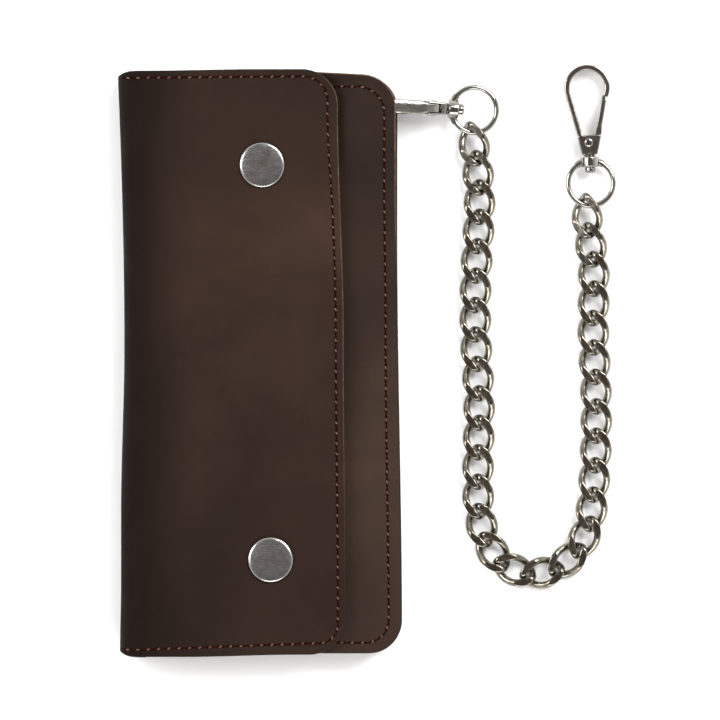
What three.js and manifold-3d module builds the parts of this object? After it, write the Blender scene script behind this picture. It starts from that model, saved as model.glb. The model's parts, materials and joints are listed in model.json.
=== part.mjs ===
// Chain wallet: a long bifold of oiled leather, closed by two snaps, with a curb chain between two swivel
// snap hooks. One hook is clipped through the eyelet in the wallet's upper right corner, the other is for a
// belt. Millimetres, +Z up. The origin is in the face that the closed wallet rests on, +Y runs up the
// wallet's length and the fold is on the -X side. The chain lies flat beside the wallet on the +X side.
import * as THREE from 'three';
import { mergeVertices } from 'three/addons/utils/BufferGeometryUtils.js';
import Module from 'manifold-3d';

const wasm = await Module();
wasm.setup();

// ---------------------------------------------------------------- driving dimensions
const GAP = 0.3; // what neighbouring pieces keep between them

const WALLET_LENGTH = 199.4;
const FOLD_X = -38.7; // where the flat covers end and the rounded fold begins
const COVER_THICKNESS = 2;
const WALLET_HEIGHT = 17.7; // over both covers, closed
const BODY_RIGHT = 47.3; // right edge of the rear cover and the front leaf, half way up
const BODY_SLANT = -0.0085; // how far that edge moves in x for each millimetre of y
const BODY_CORNER = 9.8;
const COVER_RIGHT = 28.1;
const COVER_SLANT = -0.006;
const COVER_CORNER = 9.2;

const REAR_LEAF = { bottom: 2.3, thickness: 0.9 };
const FRONT_LEAF = { bottom: 11.2, thickness: 1.8 };
const COIN_POCKET = { left: -34.4, right: 24, halfLength: 92, bottom: 8, wall: 0.9, rim: 1.2 };
const GUSSET = { left: -36.6, right: -3, halfLength: 96, wall: 1.2 };
const CARD_POCKETS = { left: -33, halfLength: 48, thickness: 0.8, rightBack: 22, rightFront: 6 };

const EYELET = {
  x: 36.5,
  y: 87.9,
  bore: 4.8,
  barrel: 5.2,
  leafHole: 5.5,
  flange: 7.4,
  plate: 0.55,
  bevel: 0.3,
};
const REAR_LIFT = { height: 3.5, x0: 2, x1: 27, y0: 50, y1: 78 }; // the corner that the hook props up
const FRONT_LIFT = { height: 4.9, x0: 21, x1: 37.5, y0: 58, y1: 82 };

const SNAPS = [
  { name: 'upper', x: 0.8, y: 67.3 },
  { name: 'lower', x: 3.7, y: -66.9 },
];
const SNAP = {
  cap: 7.6,
  capHeight: 1.35,
  capRim: 0.6,
  post: 1.8,
  socket: 5.6,
  socketBore: 2.9,
  stud: 2.2,
  studHeight: 1.2,
  base: 5.2,
  baseHeight: 0.5,
  rivet: 1.5,
  rivetHead: 4,
};

const ZIP = {
  x: -20,
  slotWidth: 7,
  halfLength: 72,
  tape: 0.7,
  tapeWidth: 13,
  teethWidth: 3.4,
  teethHeight: 1.3,
};
const SLIDER = { length: 9, width: 6, plate: 0.7, cheek: 1, endGap: 2 };
const PULL = { length: 14, width: 4.2, hole: 1, holeInset: 2.4 };

// Swivel snap hook, in its own frame: x runs from the crown along the hook's axis, y is towards the gate.
const HOOK = {
  loopRadius: 7.8,
  wire: 1.7,
  noseX: 11.4,
  legEnd: 24,
  legSlope: 13.8, // degrees that the straight leg turns in towards the axis
  shoulderHalf: 4.3,
  baseX: 31,
  baseHalf: 2.65,
  thickness: 5,
  postRadius: 1.3,
  headX: 35.25,
  headRadius: 1.75,
  endX: 36.9,
};
const GATE = {
  tipInner: [11.8, 4.75],
  tipOuter: [12.25, 6.65],
  kneeInner: [22.9, 2.35],
  kneeOuter: [24.4, 4.05],
  pivotX: 26.6,
  pivotY: -0.2,
  tail: 2,
  tailFrom: 160, // degrees round the pivot
  tailTo: 415,
  thickness: 1.9,
};
const GATE_SLOT = { x0: 23, x1: 29, y0: -2.6, halfWidth: 1.75 };
const GATE_PIN = { radius: 1, hole: 1.25 };
const RING = { radius: 7.7, wire: 0.9, centreX: 40.4, bossX0: 31.5, bossX1: 34.9, boss: 2.95, bore: 1.65 };
const HOOK_1 = { x: 32.9, y: 88, z: 8.85, slope: 6.5, yaw: -2.6 }; // on edge, crown through the eyelet
const HOOK_2 = { x: 111.2, y: 101.6, z: 2.6, slope: -1.6, yaw: -87.8 }; // flat on the table

// Flattened curb chain. The route runs through the points where neighbouring links bear on each other.
const LINK_COUNT = 30;
const LINK = { halfLength: 6.7, halfWidth: 4.3, wire: 1.25, twist: 50, flat: 2.15 };
const LINK_SEGMENTS = 20;
const LINK_SIDES = 6;
const END_ROLLS = [20, 12, 5]; // degrees that the links next to each ring stand up, ring outwards
const CHAIN_ROUTE = [
  [71.9, 79.6, 4.2],
  [74.2, 67.5, 3.1],
  [75, 54, 2.4],
  [73.8, 34, 2.3],
  [73.4, 12, 2.3],
  [74.8, -14, 2.3],
  [74.3, -38, 2.3],
  [75.2, -55, 2.3],
  [80.6, -67.2, 2.3],
  [91.4, -72.4, 2.3],
  [102.8, -69.6, 2.3],
  [111, -60, 2.3],
  [113.5, -46, 2.3],
  [114.7, -16, 2.3],
  [113.5, 14, 2.3],
  [114, 32, 2.5],
  [112, 44.5, 3.1],
  [111.1, 55.2, 3.9],
];

// ---------------------------------------------------------------- materials
const COLOURS = {
  leather: [0x3c2d26, 0.75, 0],
  suede: [0x6b4a33, 0.9, 0],
  nickel: [0xb9b5ab, 0.25, 1],
  satin: [0xa9a7a2, 0.4, 1],
  tape: [0x2a211c, 0.95, 0],
  brass: [0x9c8350, 0.35, 1],
};

function material(kind) {
  const [color, roughness, metalness] = COLOURS[kind];
  return new THREE.MeshStandardMaterial({ color, roughness, metalness });
}

function piece(name, geometry, kind) {
  const mesh = new THREE.Mesh(geometry, material(kind));
  mesh.name = name;
  return mesh;
}

// ---------------------------------------------------------------- solids
function solidOf(geometry) {
  const bare = new THREE.BufferGeometry();
  bare.setAttribute('position', geometry.getAttribute('position'));
  bare.setIndex(geometry.getIndex());
  const merged = mergeVertices(bare, 1e-4);
  const vertProperties = merged.getAttribute('position').array;
  const triVerts = new Uint32Array(merged.getIndex().array);
  return new wasm.Manifold(new wasm.Mesh({ numProp: 3, vertProperties, triVerts }));
}

function geometryOf(solid) {
  const mesh = solid.getMesh();
  const geometry = new THREE.BufferGeometry();
  geometry.setAttribute('position', new THREE.BufferAttribute(mesh.vertProperties, 3));
  geometry.setIndex(new THREE.BufferAttribute(mesh.triVerts, 1));
  geometry.computeVertexNormals();
  return geometry;
}

function joined(first, ...others) {
  return geometryOf(others.reduce((whole, other) => whole.add(solidOf(other)), solidOf(first)));
}

function cut(whole, ...tools) {
  return geometryOf(tools.reduce((rest, tool) => rest.subtract(solidOf(tool)), solidOf(whole)));
}

function box([x0, y0, z0], [x1, y1, z1]) {
  const geometry = new THREE.BoxGeometry(x1 - x0, y1 - y0, z1 - z0);
  return geometry.translate((x0 + x1) / 2, (y0 + y1) / 2, (z0 + z1) / 2);
}

// A solid of revolution about an upright line at x, y, from [radius, z] pairs that close on themselves.
function turned(profile, x = 0, y = 0, segments = 24) {
  const points = profile.map(([r, z]) => new THREE.Vector2(r, z));
  return new THREE.LatheGeometry(points, segments).rotateX(Math.PI / 2).translate(x, y, 0);
}

function disc(radius, z0, z1, x = 0, y = 0, segments = 24) {
  return turned([[0, z0], [radius, z0], [radius, z1], [0, z1]], x, y, segments);
}

// An annulus of the given radii between two heights.
function washer(inner, outer, z0, z1, x = 0, y = 0) {
  return turned([[inner, z0], [outer, z0], [outer, z1], [inner, z1], [inner, z0]], x, y);
}

function polygon(points) {
  return new THREE.Shape(points.map(([x, y]) => new THREE.Vector2(x, y)));
}

function plate(shape, z0, z1, curveSegments = 16) {
  const settings = { depth: z1 - z0, bevelEnabled: false, curveSegments };
  return new THREE.ExtrudeGeometry(shape, settings).translate(0, 0, z0);
}

// A profile in x and z, run along y from -halfLength to halfLength.
function run(shape, halfLength, curveSegments = 12) {
  const settings = { depth: 2 * halfLength, bevelEnabled: false, curveSegments };
  return new THREE.ExtrudeGeometry(shape, settings).rotateX(Math.PI / 2).translate(0, halfLength, 0);
}

function radians(degrees) {
  return (degrees * Math.PI) / 180;
}

// ---------------------------------------------------------------- leather leaves
function smoothStep(value, low, high) {
  const t = Math.min(Math.max((value - low) / (high - low), 0), 1);
  return t * t * (3 - 2 * t);
}

function lifted({ height, x0, x1, y0, y1 }) {
  return (x, y) => height * smoothStep(x, x0, x1) * smoothStep(y, y0, y1);
}

// Spaces a leaf's rows and columns closer together towards its lifted corner.
function closing(fraction) {
  return 1 - (1 - fraction) ** 1.5;
}

// Rows up the leaf: each row's y, and how far the rounded right corners pull its end in.
function leafRows(length, corner, between) {
  const cornerSteps = 5;
  const arc = [];
  for (let step = 0; step <= cornerSteps; step += 1) {
    const angle = (Math.PI / 2) * (step / cornerSteps);
    arc.push({ y: corner * (1 - Math.cos(angle)), inset: corner * (1 - Math.sin(angle)) });
  }
  const lower = arc.map(({ y, inset }) => ({ y: y - length / 2, inset }));
  const upper = arc.map(({ y, inset }) => ({ y: length / 2 - y, inset })).reverse();
  const middle = [];
  for (let step = 1; step < between; step += 1) {
    middle.push({ y: (length / 2 - corner) * (2 * closing(step / between) - 1), inset: 0 });
  }
  return [...lower, ...middle, ...upper];
}

// A leather leaf between its left edge and a right edge with rounded corners, lifted by lift(x, y).
function leaf({ left, right, slant, corner, bottom, thickness, lift, columns = 1, rows = 1 }) {
  const spans = leafRows(WALLET_LENGTH, corner, rows);
  const positions = [];
  for (const side of [0, thickness]) {
    for (const { y, inset } of spans) {
      const end = right + slant * y - inset;
      for (let column = 0; column <= columns; column += 1) {
        const x = left + (end - left) * closing(column / columns);
        positions.push(x, y, bottom + side + (lift ? lift(x, y) : 0));
      }
    }
  }
  const width = columns + 1;
  const topStart = width * spans.length;
  const index = [];
  const quad = (a, b, c, d) => index.push(a, b, c, a, c, d);
  const lastRow = spans.length - 1;
  for (let row = 0; row < lastRow; row += 1) {
    for (let column = 0; column < columns; column += 1) {
      const a = row * width + column;
      const b = a + width;
      quad(a, b, b + 1, a + 1);
      quad(topStart + a, topStart + a + 1, topStart + b + 1, topStart + b);
    }
    const first = row * width;
    const last = first + columns;
    quad(first + width, first, topStart + first, topStart + first + width);
    quad(last, last + width, topStart + last + width, topStart + last);
  }
  for (let column = 0; column < columns; column += 1) {
    const near = column;
    const far = lastRow * width + column;
    quad(near, near + 1, topStart + near + 1, topStart + near);
    quad(far + 1, far, topStart + far, topStart + far + 1);
  }
  const geometry = new THREE.BufferGeometry();
  geometry.setAttribute('position', new THREE.Float32BufferAttribute(positions, 3));
  geometry.setIndex(index);
  geometry.computeVertexNormals();
  return geometry;
}

function backCover() {
  const blank = leaf({
    left: FOLD_X + GAP,
    right: BODY_RIGHT + 0.6,
    slant: BODY_SLANT,
    corner: BODY_CORNER,
    bottom: 0,
    thickness: COVER_THICKNESS,
    lift: lifted(REAR_LIFT),
    columns: 11,
    rows: 9,
  });
  return piece('back_cover', cut(blank, disc(EYELET.leafHole, -1, 9, EYELET.x, EYELET.y)), 'leather');
}

function rearLeaf() {
  const blank = leaf({
    left: FOLD_X + 1,
    right: BODY_RIGHT - 0.4,
    slant: BODY_SLANT,
    corner: BODY_CORNER,
    ...REAR_LEAF,
    lift: lifted(REAR_LIFT),
    columns: 11,
    rows: 9,
  });
  return piece('rear_leaf', cut(blank, disc(EYELET.leafHole, -1, 9, EYELET.x, EYELET.y)), 'suede');
}

function frontLeaf() {
  const blank = leaf({
    left: GUSSET.left,
    right: BODY_RIGHT,
    slant: BODY_SLANT,
    corner: BODY_CORNER,
    ...FRONT_LEAF,
    lift: lifted(FRONT_LIFT),
    columns: 12,
    rows: 9,
  });
  const z0 = FRONT_LEAF.bottom - 1;
  const z1 = z0 + 4;
  const half = ZIP.slotWidth / 2;
  const slot = box([ZIP.x - half, -ZIP.halfLength, z0], [ZIP.x + half, ZIP.halfLength, z1]);
  const rivetHoles = SNAPS.map(({ x, y }) => disc(SNAP.rivet + GAP, z0, z1, x, y, 20));
  return piece('front_leaf', cut(blank, slot, ...rivetHoles), 'leather');
}

function frontCover() {
  const bottom = WALLET_HEIGHT - COVER_THICKNESS;
  const blank = leaf({
    left: FOLD_X + GAP,
    right: COVER_RIGHT,
    slant: COVER_SLANT,
    corner: COVER_CORNER,
    bottom,
    thickness: COVER_THICKNESS,
  });
  const holes = SNAPS.map(({ x, y }) => disc(SNAP.post + GAP, bottom - 1, bottom + 4, x, y, 20));
  return piece('front_cover', cut(blank, ...holes), 'leather');
}

// The leather that bends round from the rear cover to the front one.
function spine() {
  const middle = WALLET_HEIGHT / 2;
  const shape = new THREE.Shape();
  shape.absarc(FOLD_X, middle, middle, Math.PI / 2, 1.5 * Math.PI, false);
  shape.absarc(FOLD_X, middle, middle - COVER_THICKNESS, 1.5 * Math.PI, Math.PI / 2, true);
  return piece('spine', run(shape, WALLET_LENGTH / 2), 'leather');
}

// ---------------------------------------------------------------- the inside of the wallet
// The wall that closes the bill compartment along the fold and at both ends, open on the right.
function gusset() {
  const { left, right, halfLength, wall } = GUSSET;
  const shape = polygon([
    [right, halfLength],
    [left, halfLength],
    [left, -halfLength],
    [right, -halfLength],
    [right, wall - halfLength],
    [left + wall, wall - halfLength],
    [left + wall, halfLength - wall],
    [right, halfLength - wall],
  ]);
  const bottom = REAR_LEAF.bottom + REAR_LEAF.thickness + GAP;
  return piece('gusset', plate(shape, bottom, FRONT_LEAF.bottom - GAP), 'suede');
}

// A shallow tray under the front leaf, which the zip opens into.
function coinPocket() {
  const { left, right, halfLength, bottom, wall, rim } = COIN_POCKET;
  const top = FRONT_LEAF.bottom - GAP;
  const outside = box([left, -halfLength, bottom], [right, halfLength, top]);
  const room = halfLength - rim;
  const inside = box([left + rim, -room, bottom + wall], [right - rim, room, top + 1]);
  return piece('coin_pocket', cut(outside, inside), 'suede');
}

function cardPockets() {
  const { left, halfLength, thickness, rightBack, rightFront } = CARD_POCKETS;
  const backTop = WALLET_HEIGHT - COVER_THICKNESS - GAP;
  const frontTop = backTop - thickness - GAP;
  const back = box([left, -halfLength, backTop - thickness], [rightBack, halfLength, backTop]);
  const front = box([left, -halfLength, frontTop - thickness], [rightFront, halfLength, frontTop]);
  return [piece('card_pocket_back', back, 'leather'), piece('card_pocket_front', front, 'leather')];
}

// ---------------------------------------------------------------- zip of the coin pocket
const ZIP_TAPE_TOP = FRONT_LEAF.bottom - GAP;
const TEETH_TOP = ZIP_TAPE_TOP + ZIP.teethHeight;
const SLIDER_TOP = TEETH_TOP + GAP + SLIDER.plate;

function zipTape() {
  const half = ZIP.tapeWidth / 2;
  const teeth = ZIP.teethWidth / 2;
  const bottom = ZIP_TAPE_TOP - ZIP.tape;
  const shape = polygon([
    [ZIP.x - half, bottom],
    [ZIP.x + half, bottom],
    [ZIP.x + half, ZIP_TAPE_TOP],
    [ZIP.x + teeth, ZIP_TAPE_TOP],
    [ZIP.x + teeth, TEETH_TOP],
    [ZIP.x - teeth, TEETH_TOP],
    [ZIP.x - teeth, ZIP_TAPE_TOP],
    [ZIP.x - half, ZIP_TAPE_TOP],
  ]);
  return piece('zip_tape', run(shape, ZIP.halfLength - GAP), 'tape');
}

// A saddle over the teeth, drawn at the closed end of its travel, and the pull that lies flat behind it.
function zipSlider() {
  const half = SLIDER.width / 2;
  const inner = half - SLIDER.cheek;
  const foot = ZIP_TAPE_TOP + GAP;
  const channel = TEETH_TOP + GAP;
  const shape = polygon([
    [ZIP.x - half, foot],
    [ZIP.x - inner, foot],
    [ZIP.x - inner, channel],
    [ZIP.x + inner, channel],
    [ZIP.x + inner, foot],
    [ZIP.x + half, foot],
    [ZIP.x + half, SLIDER_TOP],
    [ZIP.x - half, SLIDER_TOP],
  ]);
  const y = ZIP.halfLength - SLIDER.endGap - SLIDER.length / 2;
  const slider = run(shape, SLIDER.length / 2).translate(0, y, 0);
  const pullTop = y - SLIDER.length / 2 - GAP;
  const pullEnd = pullTop - PULL.length;
  const tab = box([ZIP.x - PULL.width / 2, pullEnd, channel], [ZIP.x + PULL.width / 2, pullTop, SLIDER_TOP]);
  const hole = disc(PULL.hole, 0, WALLET_HEIGHT, ZIP.x, pullEnd + PULL.holeInset, 16);
  const pull = cut(tab, hole);
  return [piece('zip_slider', slider, 'brass'), piece('zip_pull', pull, 'brass')];
}

// ---------------------------------------------------------------- snaps and eyelet
// A domed cap whose post runs through the cover, the socket that the post holds, and the stud on the leaf.
function snap({ name, x, y }) {
  const coverTop = WALLET_HEIGHT + GAP;
  const coverBottom = WALLET_HEIGHT - COVER_THICKNESS;
  const leafTop = FRONT_LEAF.bottom + FRONT_LEAF.thickness;
  const { cap, capHeight, capRim, post, socket, socketBore, stud, base, rivet, rivetHead } = SNAP;
  const studBase = leafTop + GAP + SNAP.baseHeight;
  const studTop = studBase + SNAP.studHeight;
  const headBottom = FRONT_LEAF.bottom - GAP - SNAP.baseHeight;
  const capProfile = [
    [0, studTop + GAP],
    [post, studTop + GAP],
    [post, coverTop],
    [cap - 0.2, coverTop],
    [cap, coverTop + capRim / 2],
    [cap - 0.3, coverTop + capRim],
    [cap * 0.75, coverTop + 1],
    [cap * 0.4, coverTop + capHeight - 0.1],
    [0, coverTop + capHeight],
  ];
  const studProfile = [
    [0, headBottom],
    [rivetHead, headBottom],
    [rivetHead, FRONT_LEAF.bottom - GAP],
    [rivet, FRONT_LEAF.bottom - GAP],
    [rivet, leafTop + GAP],
    [base, leafTop + GAP],
    [base, studBase],
    [stud - 0.3, studBase],
    [stud, studTop - 0.5],
    [stud - 0.4, studTop],
    [0, studTop],
  ];
  return {
    cap: piece(`snap_cap_${name}`, turned(capProfile, x, y), 'satin'),
    socket: piece(
      `snap_socket_${name}`,
      washer(socketBore, socket, studBase + GAP, coverBottom - GAP, x, y),
      'nickel',
    ),
    stud: piece(`snap_stud_${name}`, turned(studProfile, x, y, 24), 'nickel'),
  };
}

// A flanged barrel through both rear leathers, and the washer that it is set against underneath.
function eyelet() {
  const { x, y, bore, barrel, leafHole, flange, plate: sheet, bevel } = EYELET;
  const leafTop = REAR_LEAF.bottom + REAR_LEAF.thickness + REAR_LIFT.height;
  const washerTop = REAR_LIFT.height - GAP;
  const profile = [
    [bore, washerTop - sheet],
    [barrel, washerTop - sheet],
    [barrel, leafTop + GAP],
    [flange, leafTop + GAP],
    [flange - bevel, leafTop + GAP + sheet],
    [bore, leafTop + GAP + sheet],
    [bore, washerTop - sheet],
  ];
  return [
    piece('eyelet', turned(profile, x, y), 'nickel'),
    piece('eyelet_washer', washer(leafHole, flange, washerTop - sheet, washerTop, x, y), 'nickel'),
  ];
}

// ---------------------------------------------------------------- swivel snap hooks
// Turns what was made about an upright axis so that its axis runs along the hook.
function alongHook(geometry) {
  return geometry.rotateY(Math.PI / 2);
}

function hookOutline() {
  const { loopRadius, wire, noseX, legEnd, legSlope, shoulderHalf, baseX, baseHalf } = HOOK;
  const slope = radians(legSlope);
  const inner = loopRadius - wire;
  const nose = Math.acos((noseX - loopRadius) / loopRadius);
  const innerNose = Math.acos((noseX - loopRadius) / inner);
  const heel = 1.5 * Math.PI + slope;
  const legAt = (radius) => {
    const startX = loopRadius + radius * Math.sin(slope);
    return -radius * Math.cos(slope) + (legEnd - startX) * Math.tan(slope);
  };
  const shape = new THREE.Shape();
  shape.absarc(loopRadius, 0, loopRadius, nose, heel, false);
  shape.lineTo(legEnd, legAt(loopRadius));
  shape.lineTo(baseX, -baseHalf);
  shape.lineTo(baseX, baseHalf);
  shape.lineTo(legEnd + 1, shoulderHalf);
  shape.lineTo(legEnd, shoulderHalf);
  shape.lineTo(legEnd, legAt(inner));
  shape.absarc(loopRadius, 0, inner, heel, innerNose, true);
  return shape;
}

// The loop, the plate that holds the gate, and the post and peened head that the ring turns on.
function hookBody() {
  const half = HOOK.thickness / 2;
  const loop = plate(hookOutline(), -half, half, 20);
  const slot = box(
    [GATE_SLOT.x0, GATE_SLOT.y0, -GATE_SLOT.halfWidth],
    [GATE_SLOT.x1, HOOK.shoulderHalf + 1, GATE_SLOT.halfWidth],
  );
  const pinHole = disc(GATE_PIN.hole, -half - 1, half + 1, GATE.pivotX, GATE.pivotY, 20);
  const { postRadius, headX, headRadius, baseX, endX } = HOOK;
  const post = alongHook(
    turned(
      [
        [0, baseX - 1],
        [postRadius, baseX - 1],
        [postRadius, headX],
        [headRadius, headX],
        [headRadius, endX - 0.6],
        [headRadius - 0.6, endX],
        [0, endX],
      ],
      0,
      0,
      20,
    ),
  );
  return joined(cut(loop, slot, pinHole), post);
}

function hookGate() {
  const { tipInner, tipOuter, kneeInner, kneeOuter, pivotX, pivotY, tail, thickness } = GATE;
  const shape = new THREE.Shape();
  shape.moveTo(...tipInner);
  shape.lineTo(...kneeInner);
  shape.absarc(pivotX, pivotY, tail, radians(GATE.tailFrom), radians(GATE.tailTo), false);
  shape.lineTo(...kneeOuter);
  shape.lineTo(...tipOuter);
  shape.closePath();
  const hole = new THREE.Path();
  hole.absarc(pivotX, pivotY, GATE_PIN.hole, 0, 2 * Math.PI, true);
  shape.holes.push(hole);
  return plate(shape, -thickness / 2, thickness / 2, 16);
}

function hookRing(roll) {
  const { radius, wire, centreX, bossX0, bossX1, boss, bore } = RING;
  const hoop = new THREE.TorusGeometry(radius, wire, 8, 28).translate(centreX, 0, 0);
  const collar = alongHook(disc(boss, bossX0, bossX1, 0, 0, 24));
  const hole = alongHook(disc(bore, bossX0 - 2, bossX1 + 2, 0, 0, 24));
  return cut(joined(hoop, collar), hole).rotateX(roll);
}

function snapHook(number, { x, y, z, slope, yaw }, onEdge) {
  const half = HOOK.thickness / 2;
  const pin = disc(GATE_PIN.radius, -half, half, GATE.pivotX, GATE.pivotY, 20);
  const springTop = GATE_SLOT.halfWidth - 0.15;
  const springFoot = GATE.thickness / 2 + 0.15;
  const spring = washer(GATE_PIN.hole, GATE_PIN.hole + 0.5, springFoot, springTop, GATE.pivotX, GATE.pivotY);
  const edge = onEdge ? Math.PI / 2 : 0;
  const lying = new THREE.Group();
  lying.add(
    piece(`hook_${number}`, hookBody(), 'nickel'),
    piece(`gate_${number}`, hookGate(), 'nickel'),
    piece(`gate_pin_${number}`, pin, 'nickel'),
    piece(`gate_spring_${number}`, spring, 'nickel'),
    piece(`swivel_ring_${number}`, hookRing(-edge), 'nickel'),
  );
  lying.rotation.x = edge;
  const sloping = new THREE.Group();
  sloping.add(lying);
  sloping.rotation.y = radians(slope);
  const placed = new THREE.Group();
  placed.add(sloping);
  placed.rotation.z = radians(yaw);
  placed.position.set(x, y, z);
  return placed;
}

// ---------------------------------------------------------------- chain
// One closed link about its own centre, long axis along x. Its ends are twisted opposite ways, so that it
// passes its neighbours crosswise, and its faces are pressed flat.
function linkGeometry() {
  const { halfLength, halfWidth, wire, twist, flat } = LINK;
  const centre = (angle) => {
    const turn = -radians(twist) * Math.cos(angle);
    const across = halfWidth * Math.sin(angle);
    return new THREE.Vector3(
      halfLength * Math.cos(angle),
      across * Math.cos(turn),
      across * Math.sin(turn),
    );
  };
  const up = new THREE.Vector3(0, 0, 1);
  const positions = [];
  for (let segment = 0; segment < LINK_SEGMENTS; segment += 1) {
    const angle = (2 * Math.PI * segment) / LINK_SEGMENTS;
    const along = centre(angle + 0.01).sub(centre(angle - 0.01)).normalize();
    const outward = new THREE.Vector3().crossVectors(along, up).normalize();
    const above = new THREE.Vector3().crossVectors(outward, along);
    for (let side = 0; side < LINK_SIDES; side += 1) {
      const around = (2 * Math.PI * (side + 0.5)) / LINK_SIDES;
      const point = centre(angle)
        .addScaledVector(outward, wire * Math.cos(around))
        .addScaledVector(above, wire * Math.sin(around));
      positions.push(point.x, point.y, Math.min(Math.max(point.z, -flat), flat));
    }
  }
  const index = [];
  for (let segment = 0; segment < LINK_SEGMENTS; segment += 1) {
    const here = segment * LINK_SIDES;
    const next = ((segment + 1) % LINK_SEGMENTS) * LINK_SIDES;
    for (let side = 0; side < LINK_SIDES; side += 1) {
      const beside = (side + 1) % LINK_SIDES;
      index.push(here + side, next + side, next + beside);
      index.push(here + side, next + beside, here + beside);
    }
  }
  const geometry = new THREE.BufferGeometry();
  geometry.setAttribute('position', new THREE.Float32BufferAttribute(positions, 3));
  geometry.setIndex(index);
  geometry.computeVertexNormals();
  return geometry;
}

function chain() {
  const route = new THREE.CatmullRomCurve3(CHAIN_ROUTE.map(([x, y, z]) => new THREE.Vector3(x, y, z)));
  route.arcLengthDivisions = 600;
  const pivots = route.getSpacedPoints(LINK_COUNT);
  const links = [];
  for (let number = 0; number < LINK_COUNT; number += 1) {
    const along = pivots[number + 1].clone().sub(pivots[number]).normalize();
    const across = new THREE.Vector3(0, 0, 1).cross(along).normalize();
    const above = new THREE.Vector3().crossVectors(along, across);
    const link = piece(`link_${String(number + 1).padStart(2, '0')}`, linkGeometry(), 'nickel');
    link.quaternion.setFromRotationMatrix(new THREE.Matrix4().makeBasis(along, across, above));
    const roll = (END_ROLLS[number] ?? 0) - (END_ROLLS[LINK_COUNT - 1 - number] ?? 0);
    link.rotateX(radians(roll));
    link.position.copy(pivots[number]).add(pivots[number + 1]).multiplyScalar(0.5);
    links.push(link);
  }
  return links;
}

// ---------------------------------------------------------------- the whole wallet
const wallet = new THREE.Group();
wallet.add(backCover(), spine(), frontCover(), rearLeaf(), gusset(), coinPocket(), frontLeaf());
wallet.add(...cardPockets(), zipTape(), ...zipSlider(), ...eyelet());
for (const place of SNAPS) {
  const { cap, socket, stud } = snap(place);
  wallet.add(cap, socket, stud);
}
wallet.add(snapHook(1, HOOK_1, true), ...chain(), snapHook(2, HOOK_2, false));

export default wallet;
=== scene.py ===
"""Looks of the chain wallet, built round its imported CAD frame.

Mesh code works in millimetres, like the CAD, and Shape.build() turns them into metres. A wallet piece is
drawn where it lies; a hook or link is drawn in its own frame and then placed.
"""

import json
import math
import random

import bmesh
import bpy
import numpy as np
from mathutils import Matrix, Vector


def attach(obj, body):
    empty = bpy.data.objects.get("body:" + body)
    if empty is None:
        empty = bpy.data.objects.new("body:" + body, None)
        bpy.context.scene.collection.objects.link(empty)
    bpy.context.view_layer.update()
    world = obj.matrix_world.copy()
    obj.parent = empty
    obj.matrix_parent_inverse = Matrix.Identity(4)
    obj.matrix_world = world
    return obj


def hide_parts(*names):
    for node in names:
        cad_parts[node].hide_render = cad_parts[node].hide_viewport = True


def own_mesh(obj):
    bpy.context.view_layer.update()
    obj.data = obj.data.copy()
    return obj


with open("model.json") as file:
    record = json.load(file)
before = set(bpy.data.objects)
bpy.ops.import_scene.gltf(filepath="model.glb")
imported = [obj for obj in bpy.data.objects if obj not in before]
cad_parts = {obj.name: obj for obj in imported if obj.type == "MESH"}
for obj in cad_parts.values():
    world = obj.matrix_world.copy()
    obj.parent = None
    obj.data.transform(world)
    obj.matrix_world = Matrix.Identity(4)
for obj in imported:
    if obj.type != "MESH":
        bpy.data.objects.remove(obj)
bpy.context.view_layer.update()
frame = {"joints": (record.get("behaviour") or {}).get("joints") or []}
MM = 0.001

# ---------------------------------------------------------------- camera
# Straight down on the table, with a long lens: the photograph shows next to no perspective.
VIEW_CENTRE = (34.1, 1.0)
VIEW_WIDTH = 245.5
LENS = 800.0
SENSOR = 36.0

camera_data = bpy.data.cameras.new("camera")
camera_data.lens = LENS
camera_data.sensor_width = SENSOR
camera_height = VIEW_WIDTH * MM * LENS / SENSOR
camera_data.clip_start = 0.1
camera_data.clip_end = 4 * camera_height
camera = bpy.data.objects.new("camera", camera_data)
camera.location = (VIEW_CENTRE[0] * MM, VIEW_CENTRE[1] * MM, camera_height)
bpy.context.scene.collection.objects.link(camera)
bpy.context.scene.camera = camera

# ---------------------------------------------------------------- driving sizes, from the CAD (mm)
FOLD_X = -38.7
HIDE = 2.0  # thickness of both covers
HEIGHT = 17.7
FRONT_LEAF = {"under": 11.2, "thickness": 1.8}
REAR_LEAF = {"under": 2.3, "thickness": 0.9}
GUSSET = {"left": -36.6, "right": -3.0, "half": 96.0, "wall": 1.1, "bottom": 3.5, "top": 10.9}
COIN_POCKET = {"left": -34.4, "right": 24.0, "half": 92.0, "top": 10.9, "wall": 0.9}
CARD_POCKETS = {"left": -33.0, "half": 48.0, "thickness": 0.8, "back": (14.6, 22.0), "front": (13.5, 6.0)}
EYELET = {"x": 36.5, "y": 87.9, "bore": 4.8, "barrel": 5.2, "hole": 5.5, "flange": 7.4, "plate": 0.55}
REAR_LIFT = {"height": 3.5, "x": (2.0, 27.0), "y": (50.0, 78.0)}
FRONT_LIFT = {"height": 4.9, "x": (21.0, 37.5), "y": (58.0, 82.0)}
SNAPS = {"upper": (0.8, 67.3), "lower": (3.7, -66.9)}
SNAP = {"cap_bottom": 18.0, "socket": 5.6, "bore": 2.9, "stud": 2.2, "base": 5.2}
ZIP = {"x": -20.0, "slot": 7.0, "half": 72.0, "tape": 13.0, "tape_bottom": 10.2, "tape_top": 10.9}
SLIDER = {"y": 65.5, "length": 9.0, "width": 6.0, "top": 13.2, "pull": 14.0, "pull_width": 4.2}
HOOK = {
    "loop": 7.8, "wire": 1.85, "nose": 11.4, "leg_end": 24.0, "leg_slope": 13.8, "shoulder": 4.3,
    "base": 31.0, "base_half": 2.65, "half": 2.5, "post": 1.3, "head_x": 34.9, "head": 1.85, "end": 36.9,
}
GATE = {"pivot": (26.6, -0.2), "tail": 2.0}
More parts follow.
